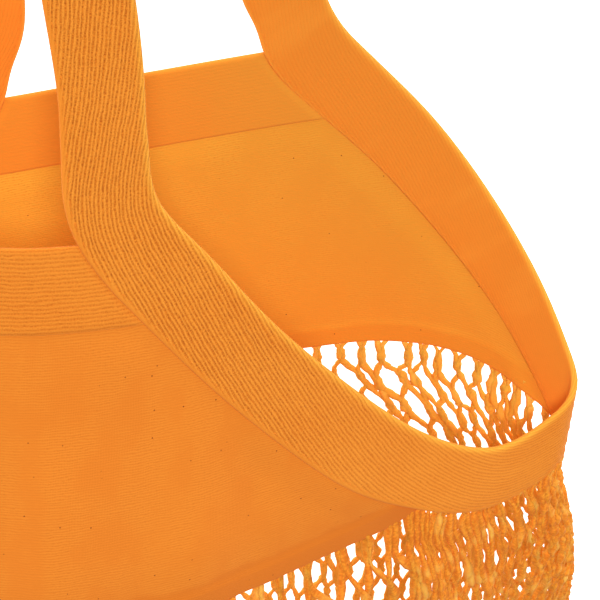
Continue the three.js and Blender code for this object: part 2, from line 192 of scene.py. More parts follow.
@dataclass
class BagForm:
    """How the bag's cloth lies: one cross-section for each depth, leaning, twisted and swayed."""

    half_girth: float = 420 * MM
    panel_depth: float = 135.6 * MM
    net_depth: float = 250 * MM
    half_tape: float = 14 * MM
    mouth_height: float = 64.2 * MM
    crown_height: float = 112.5 * MM
    foot_height: float = 10 * MM
    foot_slope: float = -0.25
    handle_height: float = 11 * MM
    handle_ease: float = 8 * MM
    twist: float = 29.2 * MM
    lean: float = 0.163
    front_slip: float = -21.3 * MM
    front_skew: float = -0.064
    back_skew: float = 0.136
    net_taper: float = 0.2
    net_sway: float = 36 * MM
    sway_slope: float = 0.44
    fold_share: float = 0.507
    back_power: float = 5.13
    roof_power: float = 1.6
    roof_fullness: float = 1.35
    fold_rounding: float = 10 * MM
    origin: tuple[float, float, float] = (0.370 * MM, 60.954 * MM, 1.850 * MM)
    handle_reach: float = 300 * MM
    row_step: float = 2 * MM
    normal_reach: float = 1.5 * MM
    spare_rows: int = 6
    outline_steps: int = 120
    rounding_samples: int = 5
    halvings: int = 18
    rows: np.ndarray = field(init=False)
    table: np.ndarray = field(init=False)

    def __post_init__(self) -> None:
        """Works out the cross-section at even steps of depth."""
        end = self.net_end + self.spare_rows * self.row_step
        self.rows = np.arange(-self.handle_reach, end, self.row_step)
        self.table = np.stack([self._section(depth) for depth in self.rows])

    @property
    def net_end(self) -> float:
        """Depth of the net's foot."""
        return self.panel_depth + self.net_depth

    @property
    def tape_low(self) -> float:
        """Depth of the tape's lower edge at the sides."""
        return self.panel_depth + self.half_tape

    def middle(self, side: Side) -> float:
        """Girth of the middle of a side."""
        return self.half_girth if side is Side.FRONT else 0.0

    def settled(self, depth: Any) -> Any:
        """How far the net has settled to its foot, from 0 to 1."""
        return smooth(depth, self.panel_depth, self.net_end)

    def half_girth_at(self, depth: Any) -> Any:
        """Half of the girth that the cloth has at a depth."""
        return self.half_girth * (1 - self.net_taper * self.settled(depth))

    def sway(self, depth: Any) -> Any:
        """How far the net has run to the side at a depth."""
        below = np.maximum(depth - self.tape_low, 0)
        return self.net_sway * (1 - np.exp(-self.sway_slope * below / self.net_sway))

    def roof_height(self, depth: Any) -> np.ndarray:
        """Height of the bag's front above its back.

        Args:
            depth: Places down the bag.

        Returns:
            The heights.
        """
        depth = np.asarray(depth, float)
        slope = (self.crown_height - self.mouth_height) / self.panel_depth
        t = np.clip((depth - self.panel_depth) / self.net_depth, 0, 1)
        start = (1 - t) ** 2 * ((1 + 2 * t) * self.crown_height + t * self.net_depth * slope)
        net = start + t * t * ((3 - 2 * t) * self.foot_height + (t - 1) * self.net_depth * self.foot_slope)
        above = self.mouth_height + slope * depth - self.handle_height
        cloth = self.handle_height + self.handle_ease * np.log1p(np.exp(above / self.handle_ease))
        return np.where(depth > self.panel_depth, net, cloth)

    def _outline(self, half_width: float, height: float) -> np.ndarray:
        """One half of a cross-section, from the middle of the back to the middle of the front.

        Args:
            half_width: Its reach to the side before its fold is rounded.
            height: Height of the front above the back.

        Returns:
            Points (across, up), with the side fold rounded.
        """
        turn = np.linspace(0, math.pi, 2 * self.outline_steps + 1)
        x = np.sin(turn)
        fold = self.fold_share * height
        roof = fold + (height - fold) * np.maximum(1 - x**self.roof_power, 0) ** self.roof_fullness
        z = np.where(turn <= math.pi / 2, fold * x**self.back_power, roof)
        sharp = np.stack([x * half_width, z], 1)
        arc = arc_lengths(sharp)
        here = np.linspace(0, arc[-1], len(turn))
        reach = np.minimum(np.minimum(self.fold_rounding, here), arc[-1] - here)
        shares = np.linspace(-1, 1, self.rounding_samples)[:, None]
        return points_along(sharp, arc, here + shares * reach).mean(axis=0)

    def _section(self, depth: float) -> np.ndarray:
        """The cross-section at a depth, as wide as the cloth's girth allows.

        Args:
            depth: Place down the bag.

        Returns:
            Points (across, up) at even steps of the girth.
        """
        height = float(self.roof_height(depth))
        girth = float(self.half_girth_at(depth))
        narrow, wide = girth / 4, girth
        for _ in range(self.halvings):
            middle = (narrow + wide) / 2
            if arc_lengths(self._outline(middle, height))[-1] > girth:
                wide = middle
            else:
                narrow = middle
        outline = self._outline(narrow, height)
        arc = arc_lengths(outline)
        return points_along(outline, arc, np.linspace(0, arc[-1], len(outline)))

    def points(self, girth: Any, depth: Any) -> np.ndarray:
        """Points of the cloth as the bag lies.

        Args:
            girth: Places round the bag.
            depth: Places down the bag.

        Returns:
            Points in the frame, in metres.
        """
        girth, depth = np.broadcast_arrays(np.asarray(girth, float), np.asarray(depth, float))
        turn = (girth + self.twist) / self.half_girth
        share = turn - 2 * np.round(turn / 2)
        last_row, last_column = len(self.rows) - 1, self.table.shape[1] - 1
        row = np.clip((depth - self.rows[0]) / self.row_step, 0, last_row - LAST_CELL)
        column = np.clip(np.abs(share) * last_column, 0, last_column - LAST_CELL)
        i, j = row.astype(int), column.astype(int)
        down, across = (row - i)[..., None], (column - j)[..., None]
        upper = lerp(self.table[i, j], self.table[i, j + 1], across)
        lower = lerp(self.table[i + 1, j], self.table[i + 1, j + 1], across)
        flat = lerp(upper, lower, down)
        x, z = np.sign(share) * flat[..., 0], flat[..., 1]
        front = z / self.roof_height(depth)
        loose = 1 - self.settled(depth)
        slip = front * (self.front_slip + self.front_skew * x) + (1 - front) * self.back_skew * x
        x = x - loose * self.lean * z + self.sway(depth)
        return np.stack([x, loose * slip - depth, z], -1) + np.array(self.origin)

    def normals(self, girth: Any, depth: Any) -> np.ndarray:
        """Directions out of the bag, which are down on its back and up on its front.

        Args:
            girth: Places round the bag.
            depth: Places down the bag.

        Returns:
            Directions of length one.
        """
        reach = self.normal_reach
        across = self.points(girth + reach, depth) - self.points(girth - reach, depth)
        down = self.points(girth, depth + reach) - self.points(girth, depth - reach)
        return unit(np.cross(across, down))

    def place(self, girth: Any, depth: Any, out: Any) -> np.ndarray:
        """Points at a distance out from the cloth, kept above the floor.

        Args:
            girth: Places round the bag.
            depth: Places down the bag.
            out: Distances out of the bag.

        Returns:
            Points in the frame, in metres.
        """
        away = np.asarray(out)[..., None] * self.normals(girth, depth)
        return above_floor(self.points(girth, depth) + away)


@dataclass
class TapeCourse:
    """The tape's middle line on the flat cloth: both handles and the edges of both panels."""

    form: BagForm
    handle_rise: float = 250 * MM
    edge_top_girth: float = 68.2 * MM
    edge_top_depth: float = 8.6 * MM
    side_roundness: float = 0.323
    leg_bend_radius: float = 75.8 * MM
    front_roll: float = math.radians(40)
    back_roll: float = math.radians(12)
    roll_length: float = 145 * MM
    front_bow: tuple[float, float, float] = (0.084, 3 * MM, 33 * MM)
    front_lean: tuple[float, float, float] = (0.3, 25 * MM, 150 * MM)
    arc_points: int = 200
    step: float = 1 * MM
    quarter_length: float = field(init=False)
    open_edge: np.ndarray = field(init=False)
    below_bend: np.ndarray = field(init=False)
    stations: np.ndarray = field(init=False)

    def __post_init__(self) -> None:
        """Works out the stations of one quarter, then carries them round the whole loop."""
        line = self._quarter_line()
        arc = arc_lengths(line)
        self.quarter_length = float(arc[-1])
        distance = np.linspace(0, self.quarter_length, round(self.quarter_length / self.step) + 1)
        reach = self.form.normal_reach
        ahead = points_along(line, arc, np.minimum(distance + reach, self.quarter_length))
        behind = points_along(line, arc, np.maximum(distance - reach, 0))
        along = unit(ahead - behind)
        point = points_along(line, arc, distance)
        to_fold = np.stack([along[:, 1], -along[:, 0]], 1)
        roll = 1 - smooth(distance, 0, self.roll_length)
        self.open_edge = point - to_fold * self.form.half_tape
        self.below_bend = distance > self.roll_length
        self._carry_round(distance, point, to_fold, roll)

    @property
    def length(self) -> float:
        """Length of the whole loop."""
        return 4 * self.quarter_length

    def _quarter_line(self) -> np.ndarray:
        """The tape's middle line over one quarter of its loop.

        Returns:
            Points (girth, depth) from the top of a handle to the lowest point at the side.
        """
        form = self.form
        away = np.linspace(1, 0, self.arc_points)
        full = math.hypot(1, self.side_roundness) - self.side_roundness
        rise = (np.hypot(away, self.side_roundness) - self.side_roundness) / full
        girth = lerp(form.half_girth / 2, self.edge_top_girth, away)
        edge = np.stack([girth, lerp(form.panel_depth, self.edge_top_depth, rise)], 1)
        first = edge[1] - edge[0]
        slant = math.atan2(first[1], first[0])
        radius = self.leg_bend_radius
        leg_girth = self.edge_top_girth - radius * (1 - math.sin(slant))
        bend_depth = self.edge_top_depth - radius * math.cos(slant)
        turn = np.linspace(0, math.pi / 2, self.arc_points)
        top_depth = leg_girth * (1 - np.cos(turn)) - self.handle_rise
        top = np.stack([leg_girth * np.sin(turn), top_depth], 1)
        turn = np.linspace(math.pi / 2, slant, self.arc_points, endpoint=False)
        bend_girth = leg_girth + radius * (1 - np.sin(turn))
        bend = np.stack([bend_girth, bend_depth + radius * np.cos(turn)], 1)
        return np.concatenate([top, bend, edge])

    def _front_spacing(self, depth: np.ndarray) -> np.ndarray:
        """Spacing of the front handle's legs at a depth, as a share of that of the back handle's."""
        bow, lean = (
            share * smooth(-depth, low, high)
            for share, low, high in (self.front_bow, self.front_lean)
        )
        return 1 + bow - lean

    def _carry_round(
        self, distance: np.ndarray, point: np.ndarray, to_fold: np.ndarray, roll: np.ndarray
    ) -> None:
        """Lays the quarter's stations one after another round the bag.

        Args:
            distance: Distance of each station from the top of its handle.
            point: Girth from the handle's middle, and depth, of each station.
            to_fold: Flat direction to the tape's folded edge at each station.
            roll: Share of the handle's roll at each station.
        """
        half = self.form.half_girth
        quarters = (
            (0.0, 1, Side.BACK),
            (half, -1, Side.FRONT),
            (half, 1, Side.FRONT),
            (2 * half, -1, Side.BACK),
        )
        columns: list[np.ndarray] = []
        for number, (start, direction, side) in enumerate(quarters):
            turned = self.back_roll if side is Side.BACK else -self.front_roll
            spacing = 1.0 if side is Side.BACK else self._front_spacing(point[:, 1])
            order = slice(None) if number % 2 == 0 else slice(None, None, -1)
            run = distance if number % 2 == 0 else self.quarter_length - distance
            values = (
                number * self.quarter_length + run,
                start + direction * spacing * point[:, 0],
                point[:, 1],
                direction * to_fold[:, 0],
                to_fold[:, 1],
                turned * roll,
            )
            columns.append(np.stack(values)[:, order])
        self.stations = np.concatenate(columns, axis=1)

    def flat_place(self, run: Any, across: Any, out: Any) -> tuple[np.ndarray, np.ndarray, np.ndarray]:
        """Where a point of the tape's section lies over the flat cloth.

        Args:
            run: Distances along the loop.
            across: Distances from the middle line towards the folded edge.
            out: Distances out of the bag.

        Returns:
            Girth, depth and distance out of the cloth.
        """
        run = np.asarray(run) % self.length
        girth, depth, fold_girth, fold_depth, roll = (
            np.interp(run, self.stations[0], column) for column in self.stations[1:]
        )
        inward = across - self.form.half_tape
        flat = self.form.half_tape + inward * np.cos(roll) - out * np.sin(roll)
        lifted = inward * np.sin(roll) + out * np.cos(roll)
        return girth + fold_girth * flat, depth + fold_depth * flat, lifted

    def place(self, run: Any, across: Any, out: Any) -> np.ndarray:
        """Points of the tape's section as the bag lies."""
        return self.form.place(*self.flat_place(run, across, out))

    def half_width(self, depth: Any) -> np.ndarray:
        """Half of a panel's width between the tape's open edges at a depth."""
        edge = self.open_edge[self.below_bend]
        return np.interp(np.maximum(depth, 0), edge[:, 1], edge[:, 0])

    def open_depth(self, girth: Any) -> np.ndarray:
        """Depth of the tape's open edge.

        Args:
            girth: Places round the bag.

        Returns:
            A depth for each place.
        """
        turns = np.asarray(girth) / self.form.half_girth
        away = np.abs(turns - np.round(turns)) * self.form.half_girth
        edge = self.open_edge[self.below_bend]
        return np.interp(away, edge[:, 0], edge[:, 1])


def new_object(
    name: str,
    points: np.ndarray,
    quads: np.ndarray,
    corner_uvs: np.ndarray,
    caps: Sequence[Sequence[int]] = (),
) -> bpy.types.Object:
    """Makes a smooth closed mesh object whose faces point out.

    Args:
        name: The piece's name.
        points: Points in metres.
        quads: Four point numbers for each face.
        corner_uvs: A cloth coordinate for each corner of each quad.
        caps: Point numbers of any end faces.

    Returns:
        The linked object.
    """
    a, b, c, d = (points[quads[:, corner]] for corner in range(4))
    volume = np.einsum("ij,ij->i", a, np.cross(b, c) + np.cross(c, d)).sum()
    faces = quads.tolist() + [list(cap) for cap in caps]
    cap_uvs = np.zeros((sum(len(cap) for cap in caps), 2))
    uvs = np.concatenate([corner_uvs, cap_uvs])
    mesh = bpy.data.meshes.new(name)
    mesh.from_pydata(points.tolist(), [], faces)
    layer = mesh.uv_layers.new(name=UV_NAME)
    layer.data.foreach_set("uv", uvs.astype(np.float32).ravel())
    if volume < 0:
        mesh.flip_normals()
    mesh.polygons.foreach_set("use_smooth", np.ones(len(mesh.polygons), bool))
    mesh.validate()
    mesh.update()
    piece = bpy.data.objects.new(name, mesh)
    bpy.context.scene.collection.objects.link(piece)
    return piece


def loft(name: str, rings: np.ndarray, uvs: np.ndarray, loop: bool = False) -> bpy.types.Object:
    """Joins closed rings of points into one skin.

    Args:
        name: The piece's name.
        rings: Points of every ring, as (ring, place in the ring, axis).
        uvs: Cloth coordinates, with one place more than a ring has and, in a loop, one ring more.
        loop: True where the last ring joins the first, and no end is capped.

    Returns:
        The linked object.
    """
    count, size = rings.shape[:2]
    i = np.arange(count if loop else count - 1)[:, None]
    k = np.arange(size)[None, :]
    ahead, beside = (i + 1) % count, (k + 1) % size
    quads = np.stack([i * size + k, i * size + beside, ahead * size + beside, ahead * size + k], -1)
    corner_uvs = np.stack([uvs[i, k], uvs[i, k + 1], uvs[i + 1, k + 1], uvs[i + 1, k]], 2)
    last = (count - 1) * size
    caps = () if loop else (range(size - 1, -1, -1), range(last, last + size))
    return new_object(name, rings.reshape(-1, 3), quads.reshape(-1, 4), corner_uvs.reshape(-1, 2), caps)


def tubes(
    name: str, centres: np.ndarray, ups: np.ndarray, radii: np.ndarray, sides: int
) -> bpy.types.Object:
    """Makes many round cords as one mesh.

    Args:
        name: The piece's name.
        centres: Points of every cord, as (cord, place along it, axis).
        ups: Direction out of the cloth at each point.
        radii: Radius at each point.
        sides: Sides of a cord's section.

    Returns:
        The linked object.
    """
    count, length = radii.shape
    tangents = unit(np.gradient(centres, axis=1))
    beside = unit(np.cross(tangents, ups))
    upward = np.cross(beside, tangents)
    turn = np.linspace(0, 2 * math.pi, sides, endpoint=False)[:, None]
    around = np.cos(turn) * beside[:, :, None] + np.sin(turn) * upward[:, :, None]
    points = above_floor(centres[:, :, None] + radii[:, :, None, None] * around)
    run = arc_lengths(centres)
    cord = np.arange(count)[:, None, None] * length * sides
    place = np.arange(length - 1)[None, :, None]
    side = np.arange(sides)[None, None, :]
    beside_side = (side + 1) % sides
    quad = ((place, side), (place, beside_side), (place + 1, beside_side), (place + 1, side))
    quads = np.stack([cord + row * sides + column for row, column in quad], -1).reshape(-1, 4)
    start = np.broadcast_to(run[:, :-1, None], (count, length - 1, sides))
    end = np.broadcast_to(run[:, 1:, None], (count, length - 1, sides))
    left = np.broadcast_to(np.arange(count)[:, None, None] + side / sides, start.shape)
    right = left + 1 / sides
    uvs = np.stack([start, left, start, right, end, right, end, left], -1).reshape(-1, 2)
    ends = np.arange(sides)
    starts = np.arange(count) * length * sides
    caps = [(first + ends[::-1]).tolist() for first in starts]
    caps += [(first + (length - 1) * sides + ends).tolist() for first in starts]
    return new_object(name, points.reshape(-1, 3), quads, uvs, caps)


def arithmetic(operation: str, swapped: bool = False) -> Callable[[Wire, Any], Wire]:
    """Makes an arithmetic method of a wire, which adds one Math node.

    Args:
        operation: The Math node's operation.
        swapped: True where the wire stands on the right of the sign.

    Returns:
        The method.
    """

    def method(wire: Wire, other: Any) -> Wire:
        """Joins the wire and a value."""
        values = (other, wire) if swapped else (wire, other)
        return wire.maths(operation, *values)

    return method


class Wire:
    """A shader socket that takes part in Python arithmetic."""

    def __init__(self, bench: NodeBench, socket: bpy.types.NodeSocket | None) -> None:
        """Wraps a socket of a bench's tree, or none where a node has no output."""
        self.bench = bench
        self.socket = socket

    def maths(self, operation: str, *values: Any) -> Wire:
        """Returns the output of a new Math node."""
        return self.bench.node("ShaderNodeMath", {"operation": operation}, dict(enumerate(values)))

    __add__ = arithmetic("ADD")
    __radd__ = arithmetic("ADD", swapped=True)
    __sub__ = arithmetic("SUBTRACT")
    __rsub__ = arithmetic("SUBTRACT", swapped=True)
    __mul__ = arithmetic("MULTIPLY")
    __rmul__ = arithmetic("MULTIPLY", swapped=True)
    __truediv__ = arithmetic("DIVIDE")
    __rtruediv__ = arithmetic("DIVIDE", swapped=True)
    __pow__ = arithmetic("POWER")
    __rpow__ = arithmetic("POWER", swapped=True)

    def wave(self) -> Wire:
        """A wave from 0 to 1 that is highest at whole numbers."""
        angle = 2 * math.pi * self
        return 0.5 + 0.5 * angle.maths("COSINE", angle)

    def floor(self) -> Wire:
        """The whole number below."""
        return self.maths("FLOOR", self)

    def size(self) -> Wire:
        """The value without its sign."""
        return self.maths("ABSOLUTE", self)

    def bounce(self, length: float) -> Wire:
        """The value as it runs up to a length and back to zero, over and over."""
        return self.maths("PINGPONG", self, length)

    def eased(self, low: float, high: float) -> Wire:
        """Eases from 0 at low to 1 at high."""
        inputs = {"Value": self, "From Min": low, "From Max": high}
        return self.bench.node("ShaderNodeMapRange", {"interpolation_type": "SMOOTHSTEP"}, inputs)


class NodeBench:
    """Builds one material's node tree."""

    def __init__(self, name: str) -> None:
        """Makes an empty material.

        Args:
            name: The material's name.
        """
        self.material = bpy.data.materials.new(name)
        self.material.use_nodes = True
        self.tree = self.material.node_tree
        self.tree.nodes.clear()

    def node(
        self,
        kind: str,
        settings: dict[str, Any] | None = None,
        inputs: dict[str | int, Any] | None = None,
        output: str | int = 0,
    ) -> Wire:
        """Adds a node.

        Args:
            kind: The node's type.
            settings: Properties to set first.
            inputs: Values or wires for its input sockets, by name or number.
            output: The output socket to return, by name or number.

        Returns:
            A wire from that output, if the node has any.
        """
        made = self.tree.nodes.new(kind)
        for name, value in (settings or {}).items():
            setattr(made, name, value)
        for key, value in (inputs or {}).items():
            if isinstance(value, Wire):
                self.tree.links.new(value.socket, made.inputs[key])
            else:
                made.inputs[key].default_value = value
        return Wire(self, made.outputs[output] if made.outputs else None)

    def cloth(self) -> tuple[Wire, Wire]:
        """Reads the two cloth coordinates.

        Returns:
            Both coordinates in metres, or on a cord the length along it and the turns round it.
        """
        place = self.node("ShaderNodeUVMap", {"uv_map": UV_NAME})
        along = self.node("ShaderNodeSeparateXYZ", None, {0: place}, "X")
        across = self.node("ShaderNodeSeparateXYZ", None, {0: place}, "Y")
        return along, across

    def noise(self, along: Wire, across: Wire, long: float, wide: float, detail: float = 2.0) -> Wire:
        """Noise over the cloth.

        Args:
            along: First cloth coordinate.
            across: Second cloth coordinate.
            long: Size of a lump along the first.
            wide: Size of a lump along the second.
            detail: How many finer layers it has.

        Returns:
            Values around a half.
        """
        place = self.node("ShaderNodeCombineXYZ", None, {"X": along / long, "Y": across / wide})
        return self.node("ShaderNodeTexNoise", None, {"Vector": place, "Scale": 1.0, "Detail": detail})

    def mix(self, share: Any, first: Any, second: Any) -> Wire:
        """Mixes two colours.

        Args:
            share: Share of the second colour.
            first: A colour or a wire.
            second: A colour or a wire.

        Returns:
            The mixed colour.
        """
        settings = {"data_type": "RGBA", "clamp_factor": True}
        full = [c if isinstance(c, Wire) else (*c, 1.0) for c in (first, second)]
        inputs = dict(zip(COLOUR_MIX_INPUTS, (share, *full)))
        return self.node("ShaderNodeMix", settings, inputs, COLOUR_MIX_OUTPUT)

    def cotton(
        self,
        colour: Any,
        roughness: Any,
        height: Wire,
        relief: float,
        sheen: float,
        more: dict[str, Any] | None = None,
    ) -> bpy.types.Material:
        """Ends the tree in a cotton surface.

        Args:
            colour: Base colour.
            roughness: Roughness.
            height: Relief of the weave, from 0 to 1.
            relief: Depth of that relief in metres.
            sheen: Weight of the soft sheen of loose fibres.
            more: Further fixed values of the surface.

        Returns:
            The material.
        """
        bump = self.node("ShaderNodeBump", None, {"Strength": 1.0, "Distance": relief, "Height": height})
        inputs = {
            "Base Color": colour,
            "Roughness": roughness,
            "Normal": bump,
            "Sheen Weight": sheen,
            "Sheen Roughness": SHEEN_ROUGHNESS,
            "Specular IOR Level": COTTON_GLOSS,
            **(more or {}),
        }
        return self.surface(inputs)

    def surface(self, inputs: dict[str, Any]) -> bpy.types.Material:
        """Ends the tree in a surface.

        Args:
            inputs: Values or wires for the surface.

        Returns:
            The material.
        """
        shader = self.node("ShaderNodeBsdfPrincipled", None, inputs)
        self.node("ShaderNodeOutputMaterial", None, {"Surface": shader})
        return self.material


@dataclass(frozen=True)
class PlainWeave:
    """Plain woven cotton of the panels, with a few dark flecks of husk."""

    name: str = "plain_woven_cotton"
    light: Colour = from_screen(240, 143, 44)
    deep: Colour = from_screen(229, 124, 32)
    gap: Colour = from_screen(188, 90, 16)
    # Darker colour of the hem band: partly the turned hem's double layer, partly painted shade.
    hem: Colour = from_screen(224, 119, 29)
    # Redder colour eased in along the girth: painted shade.
    side: Colour = from_screen(233, 131, 37)
    fleck: Colour = from_screen(136, 58, 12)
    weft_pitch: float = 0.95 * MM
    warp_pitch: float = 0.55 * MM
    wander: float = 1.5
    wander_size: Lump = (6 * MM, 3 * MM)
    slub_size: Lump = (5 * MM, 0.5 * MM)
    cloud_size: Lump = (24 * MM, 40 * MM)
    patch_size: Lump = (15 * MM, 24 * MM)
    grain_size: Lump = (1.0 * MM, 0.8 * MM)
    fleck_spacing: float = 11 * MM
    fleck_size: float = 0.36 * MM
    fleck_core: float = 0.35
    fleck_chance: Range = (0.35, 1.0)
    hem_shade_range: Range = (124.5 * MM, 127.5 * MM)
    hem_wander: float = 7 * MM
    hem_wander_size: Lump = (16 * MM, 90 * MM)
    hem_share: float = 0.75
    side_shade_range: Range = (-30 * MM, 110 * MM)
    side_shade_share: float = 0.6
    relief: float = 0.09 * MM
    sheen: float = 0.05

    def make(self) -> bpy.types.Material:
        """Builds the material.

        Returns:
            The material.
        """
        bench = NodeBench(self.name)
        along, down = bench.cloth()
        wander = self.wander * (bench.noise(along, down, *self.wander_size) - 0.5)
        weft = (down / self.weft_pitch + wander).wave()
        warp = (along / self.warp_pitch + wander).wave()
        slub = bench.noise(along, down, *self.slub_size, detail=3.0)
        cloudy = bench.noise(along, down, *self.cloud_size)
        shown = bench.noise(along, down, *self.patch_size).eased(0.38, 0.62)
        grain = bench.noise(along, down, *self.grain_size, detail=1.0) - 0.5
        height = 0.45 * weft + 0.2 * warp + 0.5 * slub + 0.6 * shown * grain
        shade = (0.12 + 0.6 * shown) * weft + 0.5 * slub + 0.7 * cloudy - 0.2
        colour = bench.mix(shade.eased(0.35, 0.95), self.deep, self.light)
        gaps = ((0.75 - 0.5 * weft) * (0.5 + 2.2 * grain)).eased(0.2, 0.65)
        colour = bench.mix((0.1 + 0.4 * shown) * gaps, colour, self.gap)
        # Painted shade: a redder colour is eased in along the girth, for the shade and orange bounce light
        # on one side of the bag's inside.
        colour = bench.mix(self.side_shade_share * along.eased(*self.side_shade_range), colour, self.side)
        # Darker along the hem band: partly the turned hem's double layer, partly painted shade.
        to_hem = down + self.hem_wander * (bench.noise(along, down, *self.hem_wander_size) - 0.5)
        colour = bench.mix(self.hem_share * to_hem.eased(*self.hem_shade_range), colour, self.hem)
        colour = bench.mix(self._flecks(bench, along, down), colour, self.fleck)
        return bench.cotton(colour, 0.85 + 0.1 * slub, height, self.relief, self.sheen)

    def _flecks(self, bench: NodeBench, along: Wire, down: Wire) -> Wire:
        """A mask of small flecks, some of them missing or faint.

        Args:
            bench: The material's bench.
            along: First cloth coordinate.
            down: Second cloth coordinate.

        Returns:
            The mask, from 0 to 1.
        """
        scaled = {"X": along / self.fleck_spacing, "Y": down / self.fleck_spacing}
        place = bench.node("ShaderNodeCombineXYZ", None, scaled)
        settings = {"voronoi_dimensions": "2D", "feature": "F1"}
        inputs = {"Vector": place, "Scale": 1.0, "Randomness": 1.0}
        distance = bench.node("ShaderNodeTexVoronoi", settings, inputs, "Distance")
        chance = bench.node("ShaderNodeTexVoronoi", settings, inputs, "Color")
        chosen = bench.node("ShaderNodeSeparateXYZ", None, {0: chance}, "X").eased(*self.fleck_chance)
        edge = self.fleck_size / self.fleck_spacing
        return chosen * (1 - distance.eased(self.fleck_core * edge, edge))


@dataclass(frozen=True)
class TwillRib:
    """Ribbed cotton twill, with uneven pits in the grooves between its ribs."""

    name: str
    rib_angle: float
    strength: float = 1.0
    rib_pitch: float = 1.27 * MM
    drift: float = 0.7
    drift_size: Lump = (13 * MM, 6 * MM)
    jitter: float = 0.75
    jitter_size: Lump = (5 * MM, 1.7 * MM)
    pit_length: float = 0.5 * MM
    pit_step: float = 0.137
    pit_share: float = 0.8
    pit_sharpness: float = 2.4
    fibre_size: Lump = (1.5 * MM, 0.32 * MM)
    speck_size: Lump = (0.55 * MM, 0.4 * MM)
    dark_specks: float = 0.5
    light_specks: float = 0.35
    cloud_size: Lump = (30 * MM, 16 * MM)
    fold_at: float = 0.0
    fold_ease: float = 2 * MM
    fold_width: float = 3.8 * MM
    fold_highlight: float = 0.8
    edge_highlight: float = 0.0
    edge_width: float = 1.3 * MM
    back_share: float = 1.0
    fade_period: float = 0.0
    fade_length: float = 170 * MM
    fade_share: float = 0.35
    smooth_edge: float = 0.0
    light: Colour = from_screen(245, 150, 48)
    deep: Colour = from_screen(226, 120, 25)
    pit: Colour = from_screen(178, 80, 4)
    # Colour of the painted highlights along the fold and the inner leaf's open edge; the light specks use
    # it too.
    rim: Colour = from_screen(255, 178, 60)
    lining: Colour = from_screen(239, 140, 41)
    lining_share: float = 0.8
    # Share of the painted crease highlights on the inner leaf.
    crease_highlight_share: float = 0.7
    crease_size: Lump = (22 * MM, 70 * MM)
    relief: float = 0.34 * MM
    sheen: float = 0.05

    def make(self) -> bpy.types.Material:
        """Builds the material.

        Returns:
            The material.
        """
        bench = NodeBench(self.name)
        along, across = bench.cloth()
        cosine, sine = math.cos(self.rib_angle), math.sin(self.rib_angle)
        run = cosine * along + sine * across
        beside = cosine * across - sine * along
        drift = bench.noise(along, across, *self.drift_size) - 0.5
        jitter = bench.noise(run, beside, *self.jitter_size) - 0.5
        rib = beside / self.rib_pitch + self.drift * drift + self.jitter * jitter
        ridge = rib.wave()
        dashes = bench.noise(run, rib.floor(), self.pit_length, self.pit_step)
        pits = (1 - ridge) ** self.pit_sharpness * dashes.eased(0.3, 0.72)
        fibres = bench.noise(run, beside, *self.fibre_size, detail=3.0)
        specks = bench.noise(run, beside, *self.speck_size)
        cloudy = bench.noise(along, across, *self.cloud_size)
        face = self._face(along, across)
        height = 0.5 + face * (0.55 * ridge - 0.35 * pits - 0.3) + 0.25 * fibres
        shade = 0.45 * face * (ridge - 0.5) + 0.25 + 0.35 * fibres + 0.4 * cloudy
        colour = bench.mix(shade.eased(0.15, 0.95), self.deep, self.light)
        colour = bench.mix(self.pit_share * face * pits, colour, self.pit)
        colour = bench.mix(self.dark_specks * face * specks.eased(0.5, 0.75), colour, self.pit)
        colour = bench.mix(self.light_specks * face * (1 - specks.eased(0.25, 0.5)), colour, self.rim)
        if self.fold_at:
            colour = self._folded(bench, along, across, ridge, colour)
        return bench.cotton(colour, 0.82 + 0.12 * fibres, height, self.relief, self.sheen)

    def _inner(self, across: Wire) -> Wire:
        """A mask of the inner leaf, beyond the fold."""
        return across.eased(self.fold_at, self.fold_at + self.fold_ease)

    def _folded(self, bench: NodeBench, along: Wire, across: Wire, ridge: Wire, colour: Wire) -> Wire:
        """Colours the inner leaf with painted crease highlights, and paints highlights along the fold and
        at the open edge of the inner leaf.

        Args:
            bench: The material's bench.
            along: First cloth coordinate.
            across: Second cloth coordinate.
            ridge: Height of the ribs.
            colour: Colour of the flat twill.

        Returns:
            The colour of the folded strip.
        """
        # Painted highlights: lighter patches across the inner leaf stand in for light on creases.
        crease_highlight = bench.noise(along, across, *self.crease_size).eased(0.5, 0.66)
        lining = bench.mix(self.crease_highlight_share * crease_highlight, self.lining, self.light)
        colour = bench.mix(self.lining_share * self._inner(across), colour, lining)
        # Painted highlight along the fold, in the rim colour.
        rim = 1 - ((across - self.fold_at).size() / self.fold_width).eased(0.1, 1.0)
        colour = bench.mix(self.fold_highlight * rim * (0.6 + 0.5 * ridge), colour, self.rim)
        # Painted highlight along the open edge of the inner leaf.
        end = 2 * self.fold_at
        edge = across.eased(end - self.edge_width, end - self.edge_width / 2)
        return bench.mix(self.edge_highlight * edge, colour, self.rim)

    def _face(self, along: Wire, across: Wire) -> Any:
        """How strongly the ribs show: less on the inner leaf, and less towards the bag's sides.

        Args:
            along: First cloth coordinate.
            across: Second cloth coordinate.

        Returns:
            The strength of the ribs.
        """
        face: Any = self.strength
        if self.smooth_edge:
            face = face * across.eased(0.2 * self.smooth_edge, self.smooth_edge)
        if self.fold_at:
            face = face * (1 - (1 - self.back_share) * self._inner(across))
        if self.fade_period:
            start = self.fade_period - self.fade_length
            to_side = along.bounce(self.fade_period).eased(start, self.fade_period)
            face = face * (1 - (1 - self.fade_share) * to_side)
        return face


